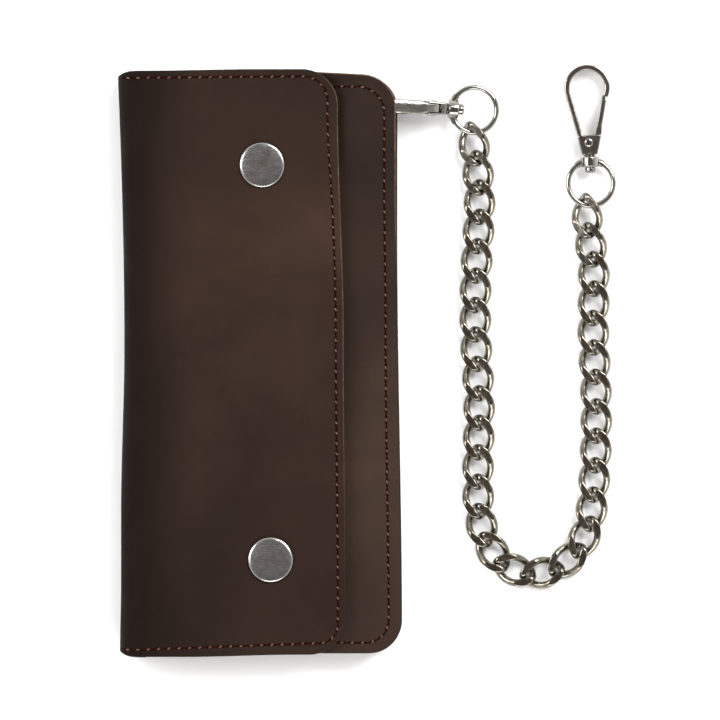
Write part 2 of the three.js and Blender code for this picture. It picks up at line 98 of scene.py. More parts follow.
RING = {"radius": 7.7, "wire": 0.9, "centre": 40.4, "boss": (31.5, 34.9), "boss_radius": 3.15, "bore": 1.65}
HOOK_1 = {"at": (32.9, 88.0, 8.85), "slope": 6.5, "yaw": -2.6, "edge": 90.0}
HOOK_2 = {"at": (111.2, 101.6, 2.6), "slope": -1.6, "yaw": -87.8, "edge": 0.0}
LINK = {"length": 6.7, "width": 4.3, "wire": 1.25, "twist": 50.0, "flat": 2.15}
LINK_COUNT = 30
END_ROLLS = [20.0, 12.0, 5.0]

STITCH = {
    "pitch": 3.5, "length": 1.35, "radius": 0.29, "rise": 0.18, "drop": 0.62, "slant": 30.0,
    "slot": (1.05, 0.45),
}


# ---------------------------------------------------------------- small maths
def smooth_step(value, low, high):
    t = min(max((value - low) / (high - low), 0.0), 1.0)
    return t * t * (3.0 - 2.0 * t)


def lift(x, y, rise):
    return rise["height"] * smooth_step(x, *rise["x"]) * smooth_step(y, *rise["y"])


def bell(value, width):
    return math.exp(-((value / width) ** 2))


def arc(centre, radius, start, end, steps):
    """Points along an arc, from start to end in degrees."""
    points = []
    for step in range(steps + 1):
        angle = math.radians(start + (end - start) * step / steps)
        points.append((centre[0] + radius * math.cos(angle), centre[1] + radius * math.sin(angle)))
    return points


def circle(steps):
    """The cosine and sine of equal steps round a circle."""
    angles = [2 * math.pi * step / steps for step in range(steps)]
    return [(math.cos(angle), math.sin(angle)) for angle in angles]


def squared(value, power):
    """A cosine or sine pushed outwards, which turns a circle into a rounded square."""
    return math.copysign(abs(value) ** power, value)


def heading(path, index):
    """The direction of a plan path at one of its points."""
    bx, by = path[max(index - 1, 0)]
    ax, ay = path[min(index + 1, len(path) - 1)]
    return Vector((ax - bx, ay - by)).normalized()


def grid_faces(rows, columns):
    """Faces between rows of points, each row columns long."""
    corners = [r * columns + c for r in range(rows - 1) for c in range(columns - 1)]
    return [(a, a + 1, a + columns + 1, a + columns) for a in corners]


# ---------------------------------------------------------------- mesh building
class Shape:
    """Points in millimetres, with faces and the material number of each face."""

    def __init__(self):
        self.points = []
        self.faces = []
        self.finish = []

    def add(self, points, faces, finish=0):
        start = len(self.points)
        self.points.extend(tuple(point) for point in points)
        for face in faces:
            self.faces.append(tuple(start + index for index in face))
            self.finish.append(finish)

    def loft(self, loops, finish=0, caps=True, ring=True):
        """Skins loops of equal length, one to the next; ring closes each loop on itself."""
        size = len(loops[0])
        points = [point for loop in loops for point in loop]
        last = size if ring else size - 1
        faces = []
        for row in range(len(loops) - 1):
            for column in range(last):
                a = row * size + column
                b = row * size + (column + 1) % size
                faces.append((a, b, b + size, a + size))
        if caps:
            faces.append(tuple(range(size))[::-1])
            faces.append(tuple(range(len(points) - size, len(points))))
        self.add(points, faces, finish)

    def build(self, name, materials, body=None, nodes=(), slot=None, sharp=35.0, place=None):
        mesh = bpy.data.meshes.new(name)
        mesh.from_pydata([(x * MM, y * MM, z * MM) for x, y, z in self.points], [], self.faces)
        for material in materials:
            mesh.materials.append(material)
        mesh.polygons.foreach_set("material_index", self.finish)
        clean(mesh, sharp)
        return put(name, mesh, body, nodes, place)


def clean(mesh, sharp):
    """Merges doubled points, turns every face outwards and shades smoothly up to a sharp angle."""
    work = bmesh.new()
    work.from_mesh(mesh)
    bmesh.ops.remove_doubles(work, verts=work.verts, dist=1e-6)
    bmesh.ops.recalc_face_normals(work, faces=work.faces)
    work.to_mesh(mesh)
    work.free()
    mesh.shade_smooth()
    mesh.set_sharp_from_angle(angle=math.radians(sharp))


def put(name, mesh, body, nodes, place=None):
    piece = bpy.data.objects.new(name, mesh)
    bpy.context.scene.collection.objects.link(piece)
    if place is not None:
        piece.matrix_world = place
    if body:
        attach(piece, body)
    if nodes:
        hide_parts(*nodes)
    return piece


def combine(piece, tool, operation, sharp=35.0):
    """Cuts the tool from the piece, or joins it on, and deletes the tool."""
    modifier = piece.modifiers.new("combine", "BOOLEAN")
    modifier.operation = operation
    modifier.solver = "EXACT"
    modifier.object = tool
    bpy.context.view_layer.update()
    graph = bpy.context.evaluated_depsgraph_get()
    mesh = bpy.data.meshes.new_from_object(piece.evaluated_get(graph))
    piece.modifiers.clear()
    piece.data = mesh
    mesh.name = piece.name
    clean(mesh, sharp)
    bpy.data.objects.remove(tool)
    return piece


def turned(profile, segments=64, x=0.0, y=0.0):
    """A solid of revolution about an upright line, from (radius, z) pairs; a ring if no radius is 0."""
    shape = Shape()
    closed = all(radius > 1e-6 for radius, _ in profile)
    loops = []
    for radius, z in profile + (profile[:1] if closed else []):
        loops.append([(x + radius * c, y + radius * s, z) for c, s in circle(segments)])
    shape.loft(loops, caps=False)
    return shape


def rounded(points, radius, steps=5):
    """An open (radius, z) profile with its inner corners rounded."""
    out = [points[0]]
    for before, here, after in zip(points, points[1:], points[2:]):
        p, q, r = np.array(before), np.array(here), np.array(after)
        reach = min(radius, 0.45 * np.linalg.norm(p - q), 0.45 * np.linalg.norm(r - q))
        start = q + (p - q) / max(np.linalg.norm(p - q), 1e-9) * reach
        end = q + (r - q) / max(np.linalg.norm(r - q), 1e-9) * reach
        for step in range(steps + 1):
            t = step / steps
            out.append(tuple((1 - t) ** 2 * start + 2 * t * (1 - t) * q + t * t * end))
    return out + [points[-1]]


def tube(shape, path, radius, sides=12, closed=False):
    """A round wire along a path of points."""
    path = [Vector(point) for point in path]
    loops = []
    count = len(path)
    side = None
    for index, point in enumerate(path):
        after = path[(index + 1) % count] if closed or index + 1 < count else point
        before = path[index - 1] if closed or index > 0 else point
        along = (after - before).normalized()
        if side is None:
            side = along.orthogonal().normalized()
        side = (side - along * side.dot(along)).normalized()
        up = along.cross(side)
        loops.append([point + (side * c + up * s) * radius for c, s in circle(sides)])
    if closed:
        loops.append(loops[0])
    shape.loft(loops, caps=not closed)


def offset(points, distance):
    """A closed plan outline, drawn anticlockwise, moved inwards."""
    out = []
    for index, (x, y) in enumerate(points):
        bx, by = points[index - 1]
        ax, ay = points[(index + 1) % len(points)]
        first = Vector((x - bx, y - by)).normalized()
        second = Vector((ax - x, ay - y)).normalized()
        inward = Vector((-first.y, first.x)) + Vector((-second.y, second.x))
        inward.normalize()
        lean = max(inward.dot(Vector((-first.y, first.x))), 0.5)
        out.append((x + inward.x * distance / lean, y + inward.y * distance / lean))
    return out


def bevelled_plate(outline, half, bevel, steps=5):
    """A flat plate between -half and half with its rims rounded over by bevel."""
    loops = []
    for step in range(steps + 1):
        angle = math.pi / 2 * (1 - step / steps)
        inset = bevel * (1 - math.cos(angle))
        level = half - bevel * (1 - math.sin(angle))
        loops.append((inset, level))
    profile = [(inset, -level) for inset, level in loops] + loops[::-1]
    shape = Shape()
    shape.loft([[(x, y, level) for x, y in offset(outline, inset)] for inset, level in profile])
    return shape


# ---------------------------------------------------------------- materials
OVERLIT = 1.5  # the lights are this much too strong, so that the white table loses its soft shadows


def srgb(red, green, blue):
    """A colour as it should look, 0 to 255, in the linear values that shaders use, less what is overlit."""
    linear = []
    for channel in (red, green, blue):
        c = channel / 255.0
        linear.append((c / 12.92 if c <= 0.04045 else ((c + 0.055) / 1.055) ** 2.4) / OVERLIT)
    return (*linear, 1.0)


def set_stops(ramp, stops):
    """Gives a colour ramp node its stops, as (position, colour) pairs."""
    elements = ramp.color_ramp.elements
    while len(elements) < len(stops):
        elements.new(0.5)
    for element, (position, colour) in zip(elements, stops):
        element.position = position
        element.color = colour


class Finish:
    """A material with one Principled shader, and shorthand for the nodes that feed it."""

    def __init__(self, name, **constants):
        self.material = bpy.data.materials.new(name)
        self.material.use_nodes = True
        self.tree = self.material.node_tree
        self.shader = self.tree.nodes["Principled BSDF"]
        for socket, value in constants.items():
            self.shader.inputs[socket.replace("_", " ")].default_value = value
        self.place = self.node("ShaderNodeTexCoord", "Object", {})
        self.normal = None

    def node(self, kind, output, sockets, **settings):
        """Adds a node, sets or links its sockets, and returns one of its outputs."""
        made = self.tree.nodes.new(kind)
        for key, value in settings.items():
            setattr(made, key, value)
        for name, value in sockets.items():
            self.feed(made.inputs[name], value)
        return made.outputs[output]

    def feed(self, socket, value):
        if hasattr(value, "links"):
            self.tree.links.new(value, socket)
        else:
            socket.default_value = value

    def stretched(self, x=1.0, y=1.0, z=1.0, angle=0.0):
        rotation = (0.0, 0.0, math.radians(angle))
        sockets = {"Vector": self.place, "Scale": (x, y, z), "Rotation": rotation}
        return self.node("ShaderNodeMapping", "Vector", sockets)

    def noise(self, scale, detail=3.0, roughness=0.5, distortion=0.0, vector=None):
        sockets = {"Vector": vector or self.place, "Scale": scale, "Detail": detail}
        sockets.update({"Roughness": roughness, "Distortion": distortion})
        return self.node("ShaderNodeTexNoise", "Fac", sockets)

    def cells(self, scale, feature, vector):
        sockets = {"Vector": vector, "Scale": scale}
        return self.node("ShaderNodeTexVoronoi", "Distance", sockets, feature=feature)

    def span(self, value, low, high, to_low=0.0, to_high=1.0):
        sockets = {"Value": value, "From Min": low, "From Max": high, "To Min": to_low, "To Max": to_high}
        return self.node("ShaderNodeMapRange", "Result", sockets, interpolation_type="SMOOTHSTEP")

    def ramp(self, value, *stops):
        colour = self.node("ShaderNodeValToRGB", "Color", {"Fac": value})
        set_stops(colour.node, stops)
        return colour

    def mix(self, factor, first, second):
        return self.node("ShaderNodeMix", 2, {0: factor, 6: first, 7: second}, data_type="RGBA")

    def axis(self, name):
        return self.node("ShaderNodeSeparateXYZ", name, {"Vector": self.place})

    def bump(self, height, distance, strength):
        sockets = {"Height": height, "Distance": distance * MM, "Strength": strength}
        if self.normal is not None:
            sockets["Normal"] = self.normal
        self.normal = self.node("ShaderNodeBump", "Normal", sockets)

    def done(self, colour, roughness):
        self.feed(self.shader.inputs["Base Color"], colour)
        self.feed(self.shader.inputs["Roughness"], roughness)
        if self.normal is not None:
            self.feed(self.shader.inputs["Normal"], self.normal)
        return self.material


def oiled_leather(name, dark, middle, light, shade_bands=()):
    """Waxed pull-up hide: cloudy, nearly matt, with a fine grain, and with painted shade laid over it in
    bands.

    Each band of painted shade is an axis, the two places that it fades between, and how dark it is at each.
    """
    finish = Finish(name, IOR=1.45, Specular_IOR_Level=0.05)
    clouds = finish.noise(20.0, 3.0, 0.5, 0.4)
    colour = finish.ramp(clouds, (0.28, dark), (0.5, middle), (0.76, light))
    bands = finish.noise(9.0, 3.0, 0.5, 0.4, finish.stretched(1.0, 4.5, 1.0))
    colour = finish.mix(finish.span(bands, 0.42, 0.7, 0.0, 0.25), colour, dark)
    rubs = finish.noise(140.0, 5.0, 0.65, 1.2)
    colour = finish.mix(finish.span(rubs, 0.58, 0.76, 0.0, 0.3), colour, light)
    # painted shade, band by band
    for axis, low, high, at_low, at_high in shade_bands:
        shade_mask = finish.span(finish.axis(axis), low, high, at_low, at_high)
        colour = finish.mix(shade_mask, colour, SHADE_HIDE)
    specks = finish.noise(2600.0, 2.0, 0.6)
    colour = finish.mix(finish.span(specks, 0.35, 0.7, 0.0, 0.22), colour, dark)
    grain = finish.cells(1500.0, "DISTANCE_TO_EDGE", finish.stretched(1.0, 0.8, 1.0, 20.0))
    finish.bump(finish.span(grain, 0.0, 0.35), 0.035, 0.5)
    finish.bump(finish.noise(3400.0, 3.0, 0.6), 0.03, 0.5)
    finish.bump(finish.noise(190.0, 4.0, 0.5, 0.8), 0.12, 0.35)
    roughness = finish.span(finish.noise(70.0, 4.0, 0.6), 0.3, 0.7, 0.56, 0.74)
    return finish.done(colour, roughness)


def cut_edge(name, dark, light, darkened, pale_spans=()):
    """The raw edge of the hide: paler, layered, a little fibrous, and darker outside its pale spans."""
    finish = Finish(name, Specular_IOR_Level=0.15)
    layers = finish.noise(900.0, 3.0, 0.6, 0.0, finish.stretched(0.35, 0.35, 3.0))
    patches = finish.noise(160.0, 3.0, 0.6)
    colour = finish.mix(finish.span(layers, 0.35, 0.65), dark, light)
    colour = finish.mix(finish.span(patches, 0.45, 0.7, 0.0, 0.6), colour, dark)
    for axis, low, high in pale_spans:
        colour = finish.mix(finish.span(finish.axis(axis), low, high, 1.0, 0.0), colour, darkened)
    finish.bump(layers, 0.08, 0.7)
    finish.bump(finish.noise(2400.0, 2.0, 0.6), 0.04, 0.5)
    return finish.done(colour, finish.span(patches, 0.3, 0.7, 0.6, 0.85))


def suede(name, dark, light):
    """The flesh side of the hide, with a short nap."""
    finish = Finish(name, Specular_IOR_Level=0.12, Sheen_Weight=0.12, Sheen_Roughness=0.5)
    nap = finish.noise(2200.0, 4.0, 0.7, 0.3)
    patches = finish.noise(55.0, 4.0, 0.6, 0.5)
    colour = finish.mix(finish.span(patches, 0.35, 0.68), dark, light)
    colour = finish.mix(finish.span(nap, 0.4, 0.75, 0.0, 0.35), colour, dark)
    finish.bump(nap, 0.09, 0.8)
    return finish.done(colour, finish.span(nap, 0.3, 0.7, 0.8, 0.95))


def waxed_thread(name, dark, light):
    finish = Finish(name, Specular_IOR_Level=0.25)
    fibres = finish.noise(5200.0, 2.0, 0.6)
    runs = finish.noise(420.0, 2.0, 0.5)
    colour = finish.mix(finish.span(fibres, 0.35, 0.7), dark, light)
    colour = finish.mix(finish.span(runs, 0.4, 0.65, 0.0, 0.5), colour, dark)
    finish.bump(fibres, 0.03, 0.6)
    return finish.done(colour, finish.span(runs, 0.3, 0.7, 0.42, 0.62))


def shadowed(name, dark, light):
    """Painted shade for the awl slots: a dark red-brown with no gloss at all, on discs laid over the leather.
    """
    finish = Finish(name, Specular_IOR_Level=0.0)
    fibres = finish.noise(900.0, 2.0, 0.6)
    colour = finish.mix(finish.span(fibres, 0.35, 0.7), dark, light)
    return finish.done(colour, finish.span(fibres, 0.3, 0.7, 0.8, 0.95))


def woven_tape(name, dark, light):
    finish = Finish(name, Specular_IOR_Level=0.25, Sheen_Weight=0.15, Sheen_Roughness=0.5)
    sockets = {"Vector": finish.place, "Scale": 650.0, "Distortion": 0.6}
    ribs = finish.node("ShaderNodeTexWave", "Fac", sockets, wave_type="BANDS", bands_direction="Y")
    warp = finish.noise(3000.0, 2.0, 0.5, 0.0, finish.stretched(1.0, 0.25, 1.0))
    colour = finish.mix(ribs, dark, light)
    finish.bump(ribs, 0.1, 0.7)
    finish.bump(warp, 0.06, 0.6)
    return finish.done(colour, finish.span(warp, 0.3, 0.7, 0.75, 0.95))


def plated(name, bright, dull, roughness, tarnish, wave):
    """Plated metal: a soft unevenness in the polish, fine scuffs and duller patches."""
    finish = Finish(name, Metallic=1.0)
    patches = finish.noise(320.0, 4.0, 0.6, 0.6)
    scuffs = finish.noise(2600.0, 3.0, 0.6, 0.0, finish.stretched(0.2, 1.0, 1.0, 24.0))
    colour = finish.mix(finish.span(patches, 0.4, 0.72, 0.0, tarnish), bright, dull)
    low, high = roughness
    shine = finish.span(scuffs, 0.4, 0.75, low, high)
    finish.bump(finish.noise(260.0, 2.0, 0.5), wave, 0.5)
    finish.bump(scuffs, 0.012, 0.5)
    return finish.done(colour, shine)


# Painted shade: the flap is darkened over the fold, where it turns away from the light, and towards its top
# and bottom; the body is darkened towards its top.
SHADE_HIDE = srgb(25, 17, 13)
FLAP_SHADE = (("X", -0.044, -0.02, 0.95, 0.0), ("Y", 0.045, 0.07, 0.0, 0.3), ("Y", -0.055, 0.015, 0.4, 0.0))
BODY_SHADE = (("Y", -0.02, 0.06, 0.0, 0.45),)
FLAP_HIDE = oiled_leather("flap_leather", srgb(43, 31, 25), srgb(55, 40, 33), srgb(66, 49, 40), FLAP_SHADE)
BODY_HIDE = oiled_leather("body_leather", srgb(49, 37, 31), srgb(60, 46, 39), srgb(72, 56, 47), BODY_SHADE)
# The third colour is the darker tone that the cut edges take outside their pale spans.
RAW, RAW_LIGHT, EDGE_DARK = srgb(76, 56, 43), srgb(122, 98, 78), srgb(34, 24, 19)
HIDE_EDGE = cut_edge("cut_edge", RAW, RAW_LIGHT, EDGE_DARK)
FLAP_EDGE = cut_edge("flap_edge", RAW, RAW_LIGHT, EDGE_DARK, (("X", 0.02, 0.027), ("Y", -0.1, 0.03)))
BODY_EDGE = cut_edge("body_edge", RAW, RAW_LIGHT, EDGE_DARK, (("Y", 0.03, 0.06),))
REAR_EDGE = cut_edge("rear_edge", srgb(48, 28, 22), srgb(84, 52, 40), EDGE_DARK)
LINING = suede("suede_lining", srgb(72, 50, 36), srgb(112, 82, 58))
POCKET_HIDE = oiled_leather("pocket_hide", srgb(46, 33, 27), srgb(60, 44, 36), srgb(76, 57, 46))
THREAD = waxed_thread("waxed_thread", srgb(74, 42, 32), srgb(136, 104, 90))
# Painted shade: the dark of the awl slots, laid on the leather as discs.
SLOT_SHADE = shadowed("painted_slot_shade", srgb(28, 10, 6), srgb(46, 22, 14))
TAPE = woven_tape("woven_tape", srgb(30, 23, 19), srgb(56, 44, 36))
BRASS = plated("antique_brass", srgb(190, 158, 96), srgb(120, 92, 54), (0.24, 0.42), 0.7, 0.04)
CAP = plated("cap_nickel", srgb(208, 208, 208), srgb(164, 148, 140), (0.2, 0.28), 0.5, 0.01)
SATIN = plated("satin_nickel", srgb(196, 196, 192), srgb(150, 146, 140), (0.3, 0.42), 0.5, 0.02)
NICKEL = plated("bright_nickel", srgb(186, 182, 174), srgb(132, 126, 116), (0.07, 0.18), 0.6, 0.03)
CHAIN_NICKEL = plated("chain_nickel", srgb(164, 158, 146), srgb(112, 104, 90), (0.13, 0.3), 0.8, 0.05)


# ---------------------------------------------------------------- leather leaves
CORNER_STEPS = 20
RIM_STEPS = 8
NEAR_EDGE = [0.0, 0.4, 0.8, 1.2, 1.6, 2.0, 2.4, 2.8, 3.2, 3.6, 4.0, 4.5, 5.2]
WIDE_COLUMNS = 34
MIDDLE_ROWS = 110


class Outline:
    """A leaf's edge in plan: a straight left side, and a right side that may bow, with rounded corners."""

    def __init__(self, left, right, bottom, top, corner, shift=None):
        self.left, self.bottom, self.top, self.corner = left, bottom, top, corner
        self.right = right if callable(right) else (lambda y: right)
        self.shift = shift or (lambda x, y: (0.0, 0.0))

    def rows(self, inset, left_inset):
        """Rows of points across the leaf, lowest first, with the edge moved in by inset."""
        radius = self.corner - inset
        low, high = self.bottom + self.corner, self.top - self.corner
        spans = []
        for step in range(CORNER_STEPS + 1):
            angle = math.pi / 2 * step / CORNER_STEPS
            pull = radius * math.sin(angle) - self.corner
            spans.append((low - radius * math.cos(angle), pull))
        for step in range(1, MIDDLE_ROWS):
            spans.append((low + (high - low) * step / MIDDLE_ROWS, -inset))
        for step in range(CORNER_STEPS + 1):
            angle = math.pi / 2 * (1 - step / CORNER_STEPS)
            pull = radius * math.sin(angle) - self.corner
            spans.append((high + radius * math.cos(angle), pull))
        near = NEAR_EDGE[-1]
        start = self.left + left_inset
        grid = []
        for y, pull in spans:
            end = self.right(y) + pull
            xs = [start + (end - near - start) * k / WIDE_COLUMNS for k in range(WIDE_COLUMNS)]
            xs += [end - distance for distance in reversed(NEAR_EDGE)]
            grid.append([self.moved(x, y) for x in xs])
        return grid

    def moved(self, x, y):
        dx, dy = self.shift(x, y)
        return x + dx, y + dy

    def depth(self, x, y):
        """How far a point is inside the top, right and bottom edges."""
        over = x - (self.right(y) - self.corner)
        up = max(y - (self.top - self.corner), (self.bottom + self.corner) - y)
        if over > 0 and up > 0:
            return self.corner - math.hypot(over, up)
        return self.corner - max(over, up)

    def seam(self, side, end, radius, start, low_end=None, low_radius=None):
        """The line of a seam that keeps side(y) from the right edge and end from the top and bottom."""
        low_end, low_radius = low_end or end, low_radius or radius
        points = [(start, self.top - end)]
        turns = {1: self.top - end - radius, -1: self.bottom + low_end + low_radius}
        for sign, turn in turns.items():
            radius = radius if sign > 0 else low_radius
            middle = self.right(turn) - side(turn) - radius
            bend = arc((middle, turn), radius, 90.0 * sign, 0.0, 12)
            points.extend(bend if sign > 0 else bend[::-1])
            if sign > 0:
                for step in range(1, 40):
                    y = turn + (turns[-1] - turn) * step / 40
                    points.append((self.right(y) - side(y), y))
        points.append((start, self.bottom + end))
        return [self.moved(x, y) for x, y in points]


def leaf(outline, under, thickness, roundness=0.3, relief=None):
    """A sheet of leather: grain on top, cut edge round the rim, flesh side below.

    Its left rim is half round about the middle of its thickness, so it can turn in a fold there.
    """
    shape = Shape()
    rings = []
    for step in range(RIM_STEPS + 1):
        angle = math.pi / 2 - math.pi * step / RIM_STEPS
        inset = roundness * (1 - math.cos(angle))
        level = thickness / 2 * (1 + math.sin(angle))
        waves = relief if step == 0 and relief else (lambda x, y: 0.0)
        grid = []
        for row in outline.rows(inset, thickness / 2 * (1 - math.cos(angle))):
            grid.append([(x, y, under(x, y) + level + waves(x, y)) for x, y in row])
        if step in (0, RIM_STEPS):
            points = [point for row in grid for point in row]
            shape.add(points, grid_faces(len(grid), len(grid[0])), 0 if step == 0 else 2)
        right, left = [row[-1] for row in grid[1:-1]], [row[0] for row in grid[-2:0:-1]]
        rings.append(grid[0] + right + grid[-1][::-1] + left)
    shape.loft(rings, 1, caps=False)
    return shape


def dimple(x, y, centre, depth, radius):
    """The leather drawn down round a pressed-in fitting."""
    return -depth * bell(math.hypot(x - centre[0], y - centre[1]) - radius, 2.2)


def front_cover_right(y):
    """The flap's edge is drawn in towards its top corner."""
    return 29.2 - 0.7 * smooth_step(y, -80.0, 10.0) - 1.9 * smooth_step(y, 12.0, 84.0)


def body_right(y):
    return 46.72 + 1.65 * smooth_step(-y, -45.0, 95.0) - 0.5 * smooth_step(y, 20.0, 60.0)


def cover_shift(x, y):
    """The flap's ends slope slightly down towards the fold."""
    low = -0.75 * smooth_step(-y, 60.0, 99.0) * smooth_step(-x, -12.0, 25.0)
    high = -0.5 * smooth_step(y, 60.0, 99.0) * smooth_step(-x, 0.0, 38.0)
    return 0.0, low + high


def front_shift(x, y):
    """The lifted corner is drawn in towards the middle as it curls up over the hook."""
    raised = smooth_step(x, 12.0, 44.0) * smooth_step(y, 45.0, 97.0)
    return 0.0, -1.3 * raised


COVER = Outline(FOLD_X - HIDE / 2, front_cover_right, -99.2, 99.9, 12.3, cover_shift)
FRONT = Outline(-36.6, body_right, -98.8, 99.2, 11.2, front_shift)
BACK = Outline(
    FOLD_X - HIDE / 2,
    lambda y: body_right(y) + 0.1 + 0.5 * smooth_step(y, 20.0, 60.0),
    -98.8, 99.0, 11.2, front_shift,
)
REAR = Outline(FOLD_X + 1.0, lambda y: BACK.right(y) - 0.6, -98.4, 98.4, 10.9, front_shift)


def cover_relief(x, y):
    depth = COVER.depth(x, y)
    away = smooth_step(depth, 0.0, 4.0)
    relief = -0.22 * bell(depth - 2.9, 0.9) + 0.1 * bell(depth - 1.4, 0.8)
    relief += 0.22 * math.sin(x * 0.085 + 0.6) * math.sin(y * 0.042 + 0.4) * away
    relief += 0.12 * math.sin(x * 0.19 + y * 0.07) * math.sin(y * 0.11 - x * 0.05) * away
    for centre in SNAPS.values():
        relief += dimple(x, y, centre, 0.3, 7.4)
    return relief * smooth_step(x, FOLD_X, FOLD_X + 8.0)


def front_under(x, y):
    return FRONT_LEAF["under"] + lift(x, y, FRONT_LIFT)


def front_relief(x, y):
    depth = FRONT.depth(x, y)
    away = smooth_step(depth, 0.0, 4.0)
    relief = -0.22 * bell(depth - 3.9, 1.0) + 0.12 * bell(depth - 2.0, 1.2)
    relief += 0.2 * math.sin(x * 0.13 - 0.3) * math.sin(y * 0.055 + 1.1) * away
    crease = (y - 45.0) - 0.55 * (x - 34.0)
    relief -= 0.14 * bell(crease, 0.8) * bell(x - 34.0, 5.0)
    return relief


def back_under(x, y):
    return lift(x, y, REAR_LIFT)


def rear_under(x, y):
    return REAR_LEAF["under"] + lift(x, y, REAR_LIFT)


SPINE_ENDS = (-100.1, 99.4)


def spine_bulge(y):
    """How far the fold stands out past the covers: pinched in the middle, fuller at the top."""
    high = 2.05 * (max(y - 15.0, 0.0) / 80.0) ** 1.6
    return 7.45 + high + 1.1 * smooth_step(-y, -4.0, 50.0) + 0.35 * smooth_step(-y, 75.0, 98.0)


def spine_shell():
    """The hide between the two covers, from one hinge line round to the other."""
    around, rows = 48, 120
    bottom, top = SPINE_ENDS
    half_height = HEIGHT / 2
    rim = 0.45
    shape = Shape()
    rings = []
    for step in range(RIM_STEPS + 1):
        angle = math.pi / 2 - math.pi * step / RIM_STEPS
        level = HIDE / 2 * (1 - math.sin(angle))
        inset = rim * (1 - math.cos(angle))
        ring = []
        for row in range(rows + 1):
            share = 0.5 - 0.5 * math.cos(math.pi * row / rows)
            line = []
            for turn in range(around + 1):
                bend = math.pi * turn / around
                out = math.sin(bend)
                y = bottom + inset + (top - bottom - 2 * inset) * share
                y -= math.copysign(1.7 * out**5 * abs(2 * share - 1) ** 12, share - 0.5)
                x = FOLD_X - (spine_bulge(y) - level) * out
                z = half_height + (half_height - level) * math.cos(bend)
                line.append((x, y, z))
            ring.append(line)
        rings.append(ring)
    for ring, finish in ((rings[0], 0), (rings[-1], 2)):
        shape.add([point for line in ring for point in line], grid_faces(rows + 1, around + 1), finish)
    for end in (0, -1):
        shape.loft([ring[end] for ring in rings], 1, caps=False, ring=False)
    for side in (0, -1):
        shape.loft([[line[side] for line in ring] for ring in rings], 2, caps=False, ring=False)
    return shape


BODY_SET = [BODY_HIDE, BODY_EDGE, LINING]
FLAP_SET = [FLAP_HIDE, FLAP_EDGE, LINING]


def cylinder(radius, bottom, top, x, y):
    """A round cutter that leaves the cut edge's material behind."""
    shape = turned([(0.0, bottom), (radius, bottom), (radius, top), (0.0, top)], 64, x, y)
    shape.finish = [1] * len(shape.faces)
    return shape.build("tool", BODY_SET)


def stadium(x, half_width, half_length, bottom, top):
    """A slot cutter with round ends, running along y."""
    loop = []
    for side in (1, -1):
        for step in range(17):
            angle = math.pi * step / 16 + (0 if side > 0 else math.pi)
            y = side * (half_length - half_width) + half_width * math.sin(angle)
            loop.append((x + half_width * math.cos(angle), y))
    shape = Shape()
    shape.loft([[(px, py, z) for px, py in loop] for z in (bottom, top)], 1)
    return shape.build("tool", BODY_SET)


# ---------------------------------------------------------------- stitches
ARCH_SIDES, ARCH_RINGS, SLOT_SIDES = 10, 9, 12


def saddle_stitch(shape, at, along, angle, half, rise, level, side=1.0, proud=0.03, depth=0.2):
    """One stitch: an arch of two-ply thread that lies at an angle, between two awl slots along the seam.

    The slots are discs of painted shade that stand proud of the leather and are a little depth thick; side is
    -1 for the leather's back.
    """
    ax, ay = math.cos(angle), math.sin(angle)
    run_x, run_y = math.cos(along), math.sin(along)
    loops = []
    for ring in range(ARCH_RINGS):
        u = 2 * ring / (ARCH_RINGS - 1) - 1
        x, y = at[0] + ax * half * u, at[1] + ay * half * u
        z = level(x, y) + side * (rise - STITCH["drop"] * u**4)
        loop = []
        for step, (c, s) in enumerate(circle(ARCH_SIDES)):
            ply = math.cos(4 * math.pi * step / ARCH_SIDES + 4.5 * u)
            radius = STITCH["radius"] * (1 + 0.16 * ply)
            loop.append((x - ay * radius * c, y + ax * radius * c, z + radius * s))
        loops.append(loop)
    shape.loft(loops)
    # the awl slots: discs of painted shade, just proud of the leather
    slot_long, slot_wide = STITCH["slot"]
    for end in (-1, 1):
        x = at[0] + run_x * (half + 0.12) * end
        y = at[1] + run_y * (half + 0.12) * end
        slot = [(x, y, level(x, y) + side * (proud + 0.02))]
        for c, s in circle(SLOT_SIDES):
            px = x + run_x * slot_long * c - run_y * slot_wide * s
            py = y + run_y * slot_long * c + run_x * slot_wide * s
            slot.append((px, py, level(px, py) + side * proud))
        foot = [(px, py, pz - side * depth) for px, py, pz in slot]
        faces = []
        for k in range(1, SLOT_SIDES + 1):
            after, below = k % SLOT_SIDES + 1, SLOT_SIDES + 1
            faces += [(0, k, after), (k, k + below, after + below, after), (below, after + below, k + below)]
        shape.add(slot + foot, faces, 1)


def stitches(name, path, level, body, below=False):
    """Separate saddle stitches along a path."""
    line = np.array(path, float)
    steps = np.hypot(*np.diff(line, axis=0).T)
    reach = np.concatenate([[0.0], np.cumsum(steps)])
    count = int(reach[-1] / STITCH["pitch"])
    pitch = reach[-1] / count
    shape = Shape()
    for number in range(count):
        middle = (number + 0.5) * pitch
        here, ahead = ([np.interp(middle + d, reach, line[:, k]) for k in (0, 1)] for d in (0.0, 0.3))
        along = math.atan2(ahead[1] - here[1], ahead[0] - here[0])
        angle = along + math.radians(STITCH["slant"]) * random.uniform(0.6, 1.4)
        half = STITCH["length"] / 2 * random.uniform(0.94, 1.05)
        rise = STITCH["rise"] * random.uniform(0.8, 1.25)
        saddle_stitch(shape, here, along, angle, half, rise, level, -1.0 if below else 1.0)
    return shape.build(name, [THREAD, SLOT_SHADE], body, (), "thread")


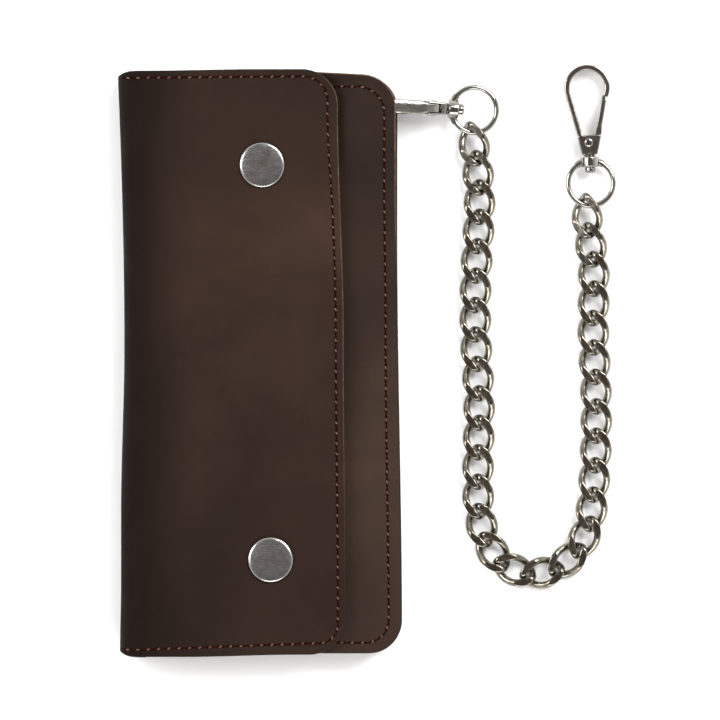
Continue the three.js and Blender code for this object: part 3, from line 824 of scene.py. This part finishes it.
# ---------------------------------------------------------------- wallet
random.seed(7)
leaf(COVER, lambda x, y: HEIGHT - HIDE, HIDE, relief=cover_relief).build(
    "flap_hide", FLAP_SET, "cover", ["front_cover"], "leather"
)
spine_piece = spine_shell().build("spine_hide", FLAP_SET, "spine", ["spine"], "leather")
back = leaf(BACK, back_under, HIDE).build(
    "rear_hide", [BODY_HIDE, REAR_EDGE, BODY_HIDE], "wallet_body", ["back_cover"], "leather"
)
rear = leaf(REAR, rear_under, REAR_LEAF["thickness"], 0.3).build(
    "rear_lining", [LINING, HIDE_EDGE, LINING], "wallet_body", ["rear_leaf"], "lining"
)
for sheet in (back, rear):
    combine(sheet, cylinder(EYELET["hole"], -1.0, 12.0, EYELET["x"], EYELET["y"]), "DIFFERENCE")
front = leaf(FRONT, front_under, FRONT_LEAF["thickness"], 0.4, front_relief).build(
    "coin_leaf_hide", BODY_SET, "wallet_body", ["front_leaf"], "leather"
)
combine(front, stadium(ZIP["x"], ZIP["slot"] / 2, ZIP["half"], 9.0, 15.0), "DIFFERENCE")


def cover_top(x, y):
    return HEIGHT + cover_relief(x, y)


def front_top(x, y):
    return front_under(x, y) + FRONT_LEAF["thickness"] + front_relief(x, y)


flap_seam = COVER.seam(lambda y: 2.65 + 0.9 * smooth_step(y, 50.0, 84.0), 2.5, 8.4, FOLD_X - 0.9, 4.0, 6.2)
stitches("flap_stitches", flap_seam, cover_top, "cover")
stitches("flap_stitches_inside", flap_seam, lambda x, y: HEIGHT - HIDE, "cover", True)
leaf_seam = FRONT.seam(lambda y: 4.5 - 0.6 * smooth_step(y, -40.0, 60.0), 4.3, 8.8, -34.0, 3.6, 8.0)
stitches("coin_leaf_stitches", leaf_seam, front_top, "wallet_body")
stitches("rear_stitches", BACK.seam(lambda y: 4.0, 3.2, 6.5, FOLD_X + 1.2), back_under, "wallet_body", True)
zip_frame = []
for side_x, ends in ((ZIP["x"] + 6.0, (78.0, -78.0)), (ZIP["x"] - 6.0, (-78.0, 78.0))):
    zip_frame += [(side_x, ends[0]), (side_x, ends[1])]
stitches("zip_stitches", zip_frame + zip_frame[:1], front_top, "wallet_body")


def fold_top(x, y):
    """Height of the upper half of the fold."""
    out = min((FOLD_X - x) / spine_bulge(y), 0.98)
    return HEIGHT / 2 * (1 + math.sqrt(1 - out * out))


def spine_stitches():
    """The flap's two end seams carry on round the fold."""
    shape = Shape()
    half, rise = STITCH["length"] / 2, STITCH["rise"]
    for y in (SPINE_ENDS[1] - 2.5, SPINE_ENDS[0] + 2.6):
        for number in range(2):
            at = (FOLD_X - 0.9 - STITCH["pitch"] * (number + 0.5), y)
            level = lambda px, py, y=y: fold_top(px, y)
            saddle_stitch(shape, at, 0.0, 0.0, half, rise, level, proud=0.05, depth=0.25)
    return shape


spine_thread = spine_stitches().build("spine_stitches", [THREAD, SLOT_SHADE], "spine", (), "thread")


def gusset_wall():
    """A folded leather wall round the fold side and both ends of the bill compartment."""
    g, corner = GUSSET, 5.0
    path = [(g["right"], g["half"])]
    for sign in (1, -1):
        for step in range(9):
            angle = math.pi / 2 * (step / 8 if sign > 0 else 1 - step / 8)
            x = g["left"] + corner - corner * math.sin(angle)
            y = sign * (g["half"] - corner + corner * math.cos(angle))
            path.append((x, y))
        if sign > 0:
            for step in range(1, 24):
                path.append((g["left"], (g["half"] - corner) * (1 - 2 * step / 24)))
    path.append((g["right"], -g["half"]))
    shape = Shape()
    loops = []
    tall = g["top"] - g["bottom"]
    for index, (x, y) in enumerate(path):
        along = heading(path, index)
        inward = Vector((-along.y, along.x))
        fold = 0.4 + 2.2 * abs(y / g["half"]) ** 6
        outer, inner = [], []
        for step in range(13):
            t = step / 12
            dent = fold * (1 - abs(2 * t - 1) ** 1.4)
            z = g["bottom"] + tall * t
            outer.append((x + inward.x * dent, y + inward.y * dent, z))
            reach = dent + g["wall"]
            inner.append((x + inward.x * reach, y + inward.y * reach, z))
        loops.append(outer + inner[::-1])
    shape.loft(loops)
    return shape


gusset_wall().build("gusset_fold", [LINING], "wallet_body", ["gusset"], "lining")

POCKET = Outline(COIN_POCKET["left"], COIN_POCKET["right"], -COIN_POCKET["half"], COIN_POCKET["half"], 6.0)


def pocket_under(x, y):
    """The coin pocket's sheet is stitched up to the leaf all round and hangs a little in the middle."""
    inside = min(POCKET.depth(x, y), x - POCKET.left)
    sag = smooth_step(inside, 1.5, 12.0)
    return COIN_POCKET["top"] - COIN_POCKET["wall"] - 1.9 * sag


leaf(POCKET, pocket_under, COIN_POCKET["wall"], 0.3).build(
    "coin_pocket_sheet", [LINING, HIDE_EDGE, LINING], "wallet_body", ["coin_pocket"], "lining"
)


def card_pocket(name, under, right, node):
    """A sheet under the flap, stitched along its two ends and open towards the right."""
    c = CARD_POCKETS
    outline = Outline(c["left"], right, -c["half"], c["half"], 5.0)

    def droop(x, y):
        return under + 0.12 * math.sin(y * 0.07) * smooth_step(x, c["left"], right)

    leaf(outline, droop, c["thickness"], 0.25).build(
        name, [LINING, HIDE_EDGE, POCKET_HIDE], "cover", [node], "leather"
    )
    start = c["left"] + 1.5
    for number, sign in ((1, 1), (2, -1)):
        y = sign * (c["half"] - 2.2)
        run = [(start, y), (right - 5.0, y)]
        stitches(f"{name}_stitches_{number}", run, droop, "cover", True)


card_pocket("card_pocket_inner", *CARD_POCKETS["back"], "card_pocket_back")
card_pocket("card_pocket_outer", *CARD_POCKETS["front"], "card_pocket_front")


# ---------------------------------------------------------------- zip
TOOTH = [(0.0, 0.42, 0.5), (0.12, 0.5, 0.66), (0.6, 0.5, 0.66), (0.85, 0.56, 0.6), (1.0, 0.4, 0.45)]
TOOTH_SECTION = [(-1, -0.7), (-0.7, -1), (0.7, -1), (1, -0.7), (1, 0.7), (0.7, 1), (-0.7, 1), (-1, 0.7)]


def zip_parts():
    """The tape with its rolled middle, and two rows of teeth that meet over it."""
    tape = Shape()
    half = ZIP["tape"] / 2
    low, high = ZIP["tape_bottom"], ZIP["tape_top"]
    section = [
        (-half, low), (half, low), (half, high - 0.1), (half - 0.1, high), (1.2, high),
        (1.0, high + 0.5), (0.6, high + 0.7), (-0.6, high + 0.7), (-1.0, high + 0.5), (-1.2, high),
        (-half + 0.1, high), (-half, high - 0.1),
    ]
    length = ZIP["half"] - 0.3
    tape.loft([[(ZIP["x"] + x, y, z) for x, z in section] for y in np.linspace(-length, length, 60)])
    tape.build("zip_tape_woven", [TAPE], "wallet_body", ["zip_tape"], "zip_tape", 50.0)
    teeth = Shape()
    pitch = 1.5
    count = int(2 * (length - 1.5) / pitch)
    for number in range(count):
        for side in (-1, 1):
            y = -length + 1.5 + pitch * (number + (0.5 if side > 0 else 0.0))
            root, tip = side * 1.75, -side * 0.35
            loops = []
            for t, slim, tall in TOOTH:
                x = ZIP["x"] + root + (tip - root) * t
                z = high + 0.65
                loops.append([(x, y + slim * across, z + tall * up) for across, up in TOOTH_SECTION])
            teeth.loft(loops)
    teeth.build("zip_teeth", [BRASS], "wallet_body", (), "zip_brass", 50.0)


def zip_slider():
    """A slider with a bridge, and the pull that hangs from it."""
    y, half, top = SLIDER["y"], SLIDER["width"] / 2, SLIDER["top"]
    length, pull = SLIDER["length"], SLIDER["pull"]
    body = Shape()
    plan = []
    for c, s in circle(32):
        plan.append((half * (0.86 + 0.14 * s) * squared(c, 0.55), length / 2 * squared(s, 0.6)))
    plate = bevelled_plate(plan, 0.35, 0.2, 4)
    body.add([(ZIP["x"] + px, y + py, top - 0.6 + pz) for px, py, pz in plate.points], plate.faces)
    for side in (-1, 1):
        rail_x = ZIP["x"] + side * (half - 0.5)
        tube(body, [(rail_x, y + step, top - 1.4) for step in np.linspace(-3.6, 3.6, 9)], 0.5, 10)
    bridge = arc((y, top - 0.55), 1.0, 0.0, 180.0, 14)
    bridge = [(ZIP["x"], y + 2.6 * (py - y), top - 0.55 + 0.3 * (pz - top + 0.55)) for py, pz in bridge]
    tube(body, bridge, 0.35, 12)
    body.build("zip_slider_body", [BRASS], "zip_slider", ["zip_slider"], "zip_brass")
    plan = []
    for c, s in circle(48):
        px = SLIDER["pull_width"] / 2 * (0.82 - 0.18 * s) * squared(c, 0.6)
        plan.append((px, pull / 2 * squared(s, 0.75)))
    middle = y - length / 2 - 0.3 - pull / 2 + 0.1
    tab = bevelled_plate(plan, 0.32, 0.2, 4)
    tab.points = [(ZIP["x"] + px, middle + py, top - 0.3 + pz) for px, py, pz in tab.points]
    piece = tab.build("zip_pull_tab", [BRASS], "zip_slider", ["zip_pull"], "zip_brass")
    for radius, hole_y in ((1.1, middle - pull / 2 + 2.6), (0.95, middle + pull / 2 - 1.6)):
        combine(piece, cylinder(radius, top - 2, top + 3, ZIP["x"], hole_y), "DIFFERENCE")


zip_parts()
zip_slider()

# ---------------------------------------------------------------- snaps and eyelet
CAP_PROFILE = [
    (0.0, 0.78), (1.6, 0.765), (3.2, 0.715), (4.6, 0.63), (5.7, 0.54), (6.5, 0.455), (6.95, 0.39),
    (7.25, 0.31), (7.44, 0.21), (7.57, 0.1), (7.6, -0.04), (7.52, -0.16), (7.3, -0.24), (6.6, -0.25),
]


def snap(name, centre):
    """The cap and the socket ring on the flap, and the stud on the leaf under them."""
    x, y = centre
    bottom = SNAP["cap_bottom"]
    profile = [(radius, bottom + z) for radius, z in CAP_PROFILE]
    profile += [(1.8, bottom - 0.25), (1.8, bottom - 2.9), (1.3, bottom - 3.2), (0.0, bottom - 3.2)]
    cap = turned(profile, 128, x, y)
    cap.build(f"snap_cap_{name}_dome", [CAP], "cover", [f"snap_cap_{name}"], "snap_cap", 50.0)
    low, top = 14.1, HEIGHT - HIDE - 0.3
    bore, socket, base = SNAP["bore"], SNAP["socket"], SNAP["base"]
    ring = [(bore, low), (socket - 0.7, low), (socket, top - 0.5), (socket, top), (bore, top), (bore, low)]
    ring = turned(rounded(ring, 0.25, 4)[:-1], 96, x, y)
    ring.build(f"snap_socket_{name}_ring", [SATIN], "cover", [f"snap_socket_{name}"], "fittings", 50.0)
    stud = [
        (0.0, 10.4), (4.0, 10.4), (4.0, 10.9), (1.5, 10.9), (1.5, 13.3), (base, 13.3),
        (base, 13.8), (1.7, 13.8), (SNAP["stud"], 14.5), (1.9, 15.0), (0.0, 15.0),
    ]
    stud = turned(rounded(stud, 0.25, 4), 96, x, y)
    stud.build(f"snap_stud_{name}_post", [SATIN], "wallet_body", [f"snap_stud_{name}"], "fittings", 50.0)


for snap_name, snap_centre in SNAPS.items():
    snap(snap_name, snap_centre)


def eyelet():
    """A grommet set through the rear cover's two layers, and the washer behind it."""
    x, y, hole = EYELET["x"], EYELET["y"], EYELET["hole"]
    bore, barrel, flange, plate = EYELET["bore"], EYELET["barrel"], EYELET["flange"], EYELET["plate"]
    top = REAR_LEAF["under"] + REAR_LEAF["thickness"] + REAR_LIFT["height"] + 0.3
    high = REAR_LIFT["height"] - 0.3
    foot = high - plate
    grommet = [
        (bore, foot), (barrel, foot), (barrel, top), (flange, top), (flange, top + 0.25),
        (flange - 0.8, top + plate), (bore + 0.3, top + plate), (bore, top + plate - 0.3), (bore, foot),
    ]
    washer = [(hole, foot), (flange, foot), (flange, high), (hole, high), (hole, foot)]
    for name, profile, node, radius in (
        ("eyelet_grommet", grommet, "eyelet", 0.2), ("eyelet_back_washer", washer, "eyelet_washer", 0.18),
    ):
        ring = turned(rounded(profile, radius, 4)[:-1], 96, x, y)
        ring.build(name, [NICKEL], "wallet_body", [node], "fittings", 50.0)


eyelet()


# ---------------------------------------------------------------- swivel snap hooks
def mesh_of(piece):
    """Keeps a piece's mesh and drops the piece."""
    mesh = piece.data
    bpy.data.objects.remove(piece)
    return mesh


def leg_at(x, radius):
    """How far off the axis the straight leg runs at x, on the side of the loop's given radius."""
    slope = math.radians(HOOK["leg_slope"])
    start = HOOK["loop"] + radius * math.sin(slope)
    return -radius * math.cos(slope) + (x - start) * math.tan(slope)


def loop_and_leg():
    """A flat bar with rounded sides, bent round the loop and run down into the plate."""
    h = HOOK
    middle = h["loop"] - h["wire"] / 2
    nose = math.degrees(math.acos((h["nose"] - 0.1 - h["loop"]) / middle))
    path = arc((h["loop"], 0.0), middle, nose, 270.0 + h["leg_slope"], 84)
    start = path[-1][0]
    for step in range(1, 13):
        x = start + (26.0 - start) * step / 12
        path.append((x, leg_at(x, middle)))
    ends = {0: 0.8, 1: 0.96}  # the nose is rounded off
    sides, power = 48, 6.0
    shape = Shape()
    loops = []
    for index, (x, y) in enumerate(path):
        along = heading(path, index)
        share = ends.get(index, 1.0) * (1.0 - 0.03 * smooth_step(index, 85, 96))
        loop = []
        for c, s in circle(sides):
            across = h["wire"] / 2 * share * squared(c, 2 / power)
            up = h["half"] * (0.4 + 0.6 * share) * squared(s, 2 / power)
            loop.append((x - along.y * across, y + along.x * across, up))
        loops.append(loop)
    shape.loft(loops)
    return shape


def plate_outline():
    """The plate between the leg and the collar, anticlockwise from where the leg runs in."""
    h = HOOK
    corners = [
        (h["leg_end"], leg_at(h["leg_end"], h["loop"])), (h["base"], -h["base_half"]),
        (h["base"], h["base_half"]), (h["leg_end"], h["shoulder"]),
    ]
    outline = []
    for index, here in enumerate(corners):
        outline += rounded([corners[index - 1], here, corners[(index + 1) % 4]], 1.0, 6)[1:-1]
    return outline


def slimmed(x):
    """The plate thins towards the collar."""
    return 1.0 - 0.2 * smooth_step(x, 23.0, 31.0)


def along_axis(shape):
    """Turns a shape made about an upright axis so that its axis is the hook's own, along x."""
    shape.points = [(z, y, -x) for x, y, z in shape.points]
    return shape


def box_tool(low, high):
    shape = Shape()
    corners = [(low[0], low[1]), (high[0], low[1]), (high[0], high[1]), (low[0], high[1])]
    shape.loft([[(x, y, z) for x, y in corners] for z in (low[2], high[2])])
    return shape.build("tool", [NICKEL])


def hook_mesh():
    """Plate, loop, neck and rivet in one, with a slot for the gate and one in the nose for its tongue."""
    h = HOOK
    piece = bevelled_plate(plate_outline(), h["half"], 0.6, 6).build("hook_tool", [NICKEL])
    combine(piece, loop_and_leg().build("tool", [NICKEL]), "UNION")
    combine(piece, box_tool((23.4, -2.6, -1.75), (29.0, 6.0, 1.75)), "DIFFERENCE")
    combine(piece, box_tool((10.2, 3.0, -0.95), (12.4, 6.4, 0.95)), "DIFFERENCE")
    px, py = GATE["pivot"]
    head = [(0.0, 2.95), (0.7, 2.9), (1.2, 2.74), (1.55, 2.45), (1.55, 2.2), (1.0, 2.2)]
    rivet = [(radius, -z) for radius, z in head] + head[::-1]
    rivet = turned(rounded(rivet, 0.2, 3), 48, px, py)
    combine(piece, rivet.build("tool", [NICKEL]), "UNION")
    for vertex in piece.data.vertices:
        vertex.co.z *= slimmed(vertex.co.x / MM)
    post, head = h["post"], h["head"]
    neck = [
        (0.0, 28.6), (2.15, 28.6), (2.15, 30.3), (1.5, 30.7), (1.5, 31.0), (1.95, 31.1), (1.95, 31.32),
        (post, 31.4), (post, h["head_x"] + 0.1), (head, h["head_x"] + 0.12), (head, h["end"] - 0.5),
        (head - 0.7, h["end"]), (0.0, h["end"]),
    ]
    neck = along_axis(turned(rounded(neck, 0.22, 4), 48))
    return mesh_of(combine(piece, neck.build("tool", [NICKEL]), "UNION", 38.0))


def gate_mesh():
    """The sprung arm: as wide as the bar that it closes, and narrowed where it turns between the cheeks.

    A tongue at its tip closes into a slot in the hook's nose.
    """
    px, py = GATE["pivot"]
    tail = arc((px, py), GATE["tail"], 160.0, 372.0, 22)
    inner = [(10.8, 5.1), (11.75, 4.85), (11.9, 4.75)]
    inner += [(14.0, 4.35), (17.0, 3.7), (20.0, 3.0), (22.2, 2.5), (23.6, 2.2)]
    outer = [(28.5, 1.5), (28.3, 2.6), (27.8, 3.05), (26.0, 3.6), (24.4, 4.1), (23.2, 4.42), (21.0, 4.9)]
    outer += [(18.0, 5.55), (15.0, 6.2), (12.4, 6.72)]
    outer += [(11.9, 6.35), (11.75, 6.2), (10.8, 6.1)]
    shape = bevelled_plate(inner + tail + outer, 1.0, 0.24, 5)
    points = []
    for x, y, z in shape.points:
        wide = 2.35 - 0.85 * smooth_step(x, 22.3, 23.4) - 1.6 * (1.0 - smooth_step(x, 11.7, 11.92))
        near_outside = smooth_step(y + 0.2 * (x - 12.0), 4.75, 6.45)
        crown = 0.45 * near_outside * (1.0 - smooth_step(x, 22.0, 23.4))
        points.append((x, y - crown * z * z, z * wide))
    shape.points = points
    piece = shape.build("gate_tool", [NICKEL])
    mesh = mesh_of(combine(piece, cylinder(1.25, -3, 3, px, py), "DIFFERENCE", 38.0))
    mesh.materials.clear()
    mesh.materials.append(NICKEL)
    return mesh


def spring_shape():
    """Three turns of spring wire round the gate's pin."""
    px, py = GATE["pivot"]
    shape = Shape()
    path = []
    for step in range(61):
        angle = 2 * math.pi * step / 20
        z = 1.56 + 0.1 * step / 60
        path.append((px + 1.5 * math.cos(angle), py + 1.5 * math.sin(angle), z))
    tube(shape, path, 0.11, 8)
    return shape


def ring_mesh():
    """The hoop that holds the chain, with the bored collar that turns on the hook's post."""
    r = RING
    hoop = Shape()
    path = [(r["centre"] + r["radius"] * c, r["radius"] * s, 0.0) for c, s in circle(120)]
    tube(hoop, path, r["wire"], 24, closed=True)
    piece = hoop.build("ring_tool", [NICKEL])
    low, high = r["boss"]
    boss = r["boss_radius"]
    collar = [
        (0.0, low), (boss - 0.2, low), (boss, low + 0.25),
        (boss, high - 0.3), (boss - 0.25, high), (0.0, high),
    ]
    collar = along_axis(turned(rounded(collar, 0.15, 3)))
    for sign in (-1, 1):
        lug = Shape()
        bend = arc((r["centre"], 0.0), r["radius"], 180.0 + 19.0 * sign, 180.0 + 37.0 * sign, 8)
        tube(lug, [(x, y, 0.0) for x, y in bend], 1.2, 24)
        combine(piece, lug.build("tool", [NICKEL]), "UNION")
    combine(piece, collar.build("tool", [NICKEL]), "UNION")
    bore = [(0.0, low - 2), (r["bore"], low - 2), (r["bore"], high + 2), (0.0, high + 2)]
    drill = along_axis(turned(bore, 48)).build("tool", [NICKEL])
    return mesh_of(combine(piece, drill, "DIFFERENCE", 38.0))


def hook_place(spec):
    """Where a hook lies: turned about its own length, tipped, and then turned on the table."""
    place = Matrix.Translation(Vector(spec["at"]) * MM)
    place = place @ Matrix.Rotation(math.radians(spec["yaw"]), 4, "Z")
    place = place @ Matrix.Rotation(math.radians(spec["slope"]), 4, "Y")
    return place @ Matrix.Rotation(math.radians(spec["edge"]), 4, "X")


hook_shape, gate_shape, ring_shape = hook_mesh(), gate_mesh(), ring_mesh()
for number, spec in ((1, HOOK_1), (2, HOOK_2)):
    place = hook_place(spec)
    hook_name, gate_name, ring_name = f"hook_{number}", f"gate_{number}", f"ring_{number}"
    put(f"{hook_name}_frame", hook_shape, hook_name, [hook_name, f"gate_pin_{number}"], place)
    put(f"{gate_name}_arm", gate_shape, gate_name, [gate_name], place)
    spring_nodes = [f"gate_spring_{number}"]
    spring_shape().build(f"{gate_name}_spring", [NICKEL], hook_name, spring_nodes, "hook_nickel", place=place)
    rolled = place @ Matrix.Rotation(math.radians(-spec["edge"]), 4, "X")
    put(f"{ring_name}_hoop", ring_shape, ring_name, [f"swivel_ring_{number}"], rolled)


# ---------------------------------------------------------------- chain
def link_mesh():
    """A curb link: an oval of wire whose ends are twisted opposite ways, pressed flat on both faces."""
    segments, sides = 80, 20
    flat, press = LINK["flat"], 0.05
    twist = math.radians(LINK["twist"])

    def centre(angle):
        turn = -twist * math.cos(angle)
        across = LINK["width"] * math.sin(angle)
        return Vector((LINK["length"] * math.cos(angle), across * math.cos(turn), across * math.sin(turn)))

    up = Vector((0, 0, 1))
    loops = []
    for segment in range(segments + 1):
        angle = 2 * math.pi * segment / segments
        along = (centre(angle + 0.01) - centre(angle - 0.01)).normalized()
        outward = along.cross(up).normalized()
        above = outward.cross(along)
        loop = []
        for c, s in circle(sides):
            point = centre(angle) + (outward * c + above * s) * LINK["wire"]
            level = abs(point.z)
            pressed = flat - press * math.log1p(math.exp(min((flat - level) / press, 60.0)))
            loop.append((point.x, point.y, math.copysign(pressed, point.z)))
        loops.append(loop)
    shape = Shape()
    shape.loft(loops, caps=False)
    return mesh_of(shape.build("link_tool", [CHAIN_NICKEL], sharp=50.0))


joint_places = {joint["name"]: joint.get("pos_m") for joint in frame["joints"]}
pivots = [Vector(joint_places[f"chain_{number:02d}"]) for number in range(1, LINK_COUNT + 2)]
link_shape = link_mesh()
for number in range(LINK_COUNT):
    start, end = pivots[number], pivots[number + 1]
    along = (end - start).normalized()
    across = Vector((0, 0, 1)).cross(along).normalized()
    above = along.cross(across)
    rolls = dict(enumerate(END_ROLLS))
    roll = rolls.get(number, 0.0) - rolls.get(LINK_COUNT - 1 - number, 0.0)
    place = Matrix((along, across, above)).transposed().to_4x4()
    place = Matrix.Translation((start + end) / 2) @ place @ Matrix.Rotation(math.radians(roll), 4, "X")
    link = f"link_{number + 1:02d}"
    put(f"{link}_curb", link_shape, link, [link], place)

# ---------------------------------------------------------------- the fold's pieces get meshes of their own
for piece in (spine_piece, spine_thread):
    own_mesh(piece)

# ---------------------------------------------------------------- floor and light
FLOOR_HALF = 3.0
FLOOR_TOP = -0.0002
LIGHT_TARGET = Vector((0.03, 0.0, 0.0))
SKY_STRENGTH = 0.85


def floor():
    """A pale plane just under the part."""
    finish = Finish("pale_floor", Specular_IOR_Level=0.1)
    tone = finish.noise(3.0, 2.0, 0.5)
    colour = finish.mix(tone, (0.9, 0.9, 0.9, 1.0), (0.92, 0.92, 0.92, 1.0))
    material = finish.done(colour, 0.8)
    mesh = bpy.data.meshes.new("floor")
    corners = [(x * FLOOR_HALF, y * FLOOR_HALF, FLOOR_TOP) for x, y in ((-1, -1), (1, -1), (1, 1), (-1, 1))]
    mesh.from_pydata(corners, [], [(0, 1, 2, 3)])
    mesh.materials.append(material)
    piece = bpy.data.objects.new("floor", mesh)
    bpy.context.scene.collection.objects.link(piece)


def softbox(name, place, size, watts):
    """A rectangular light turned to the middle of the part, in metres."""
    data = bpy.data.lights.new(name, "AREA")
    data.shape = "RECTANGLE"
    data.size, data.size_y = size
    data.energy = watts * OVERLIT
    light = bpy.data.objects.new(name, data)
    light.location = place
    light.rotation_mode = "QUATERNION"
    light.rotation_quaternion = (LIGHT_TARGET - Vector(place)).to_track_quat("-Z", "Y")
    bpy.context.scene.collection.objects.link(light)


def sky():
    """A pale room with a dim ceiling, which polished metal facing up reflects as warm grey."""
    world = bpy.data.worlds.new("studio")
    bpy.context.scene.world = world
    world.use_nodes = True
    tree = world.node_tree
    tree.nodes.clear()
    coordinates = tree.nodes.new("ShaderNodeTexCoord")
    split = tree.nodes.new("ShaderNodeSeparateXYZ")
    ramp = tree.nodes.new("ShaderNodeValToRGB")
    background = tree.nodes.new("ShaderNodeBackground")
    output = tree.nodes.new("ShaderNodeOutputWorld")
    tree.links.new(coordinates.outputs["Generated"], split.inputs["Vector"])
    tree.links.new(split.outputs["Z"], ramp.inputs["Fac"])
    tree.links.new(ramp.outputs["Color"], background.inputs["Color"])
    tree.links.new(background.outputs["Background"], output.inputs["Surface"])
    set_stops(ramp, [
        (0.0, (0.9, 0.9, 0.9, 1)), (0.45, (0.95, 0.95, 0.95, 1)), (0.72, (0.5, 0.49, 0.48, 1)),
        (0.86, (0.2, 0.2, 0.2, 1)), (0.94, (0.15, 0.155, 0.16, 1)), (1.0, (0.2, 0.168, 0.152, 1)),
    ])
    background.inputs["Strength"].default_value = SKY_STRENGTH * OVERLIT


floor()
sky()
softbox("key", (0.9, 0.9, 1.3), (0.9, 0.9), 24.0)
softbox("fill", (-1.1, 0.3, 1.2), (0.7, 1.1), 12.0)
softbox("low", (0.1, -1.3, 0.9), (1.2, 0.6), 8.0)

scene = bpy.context.scene
scene.view_settings.view_transform = "Standard"
scene.view_settings.look = "None"

# ---------------------------------------------------------------- the scene is brought up to date
bpy.context.view_layer.update()
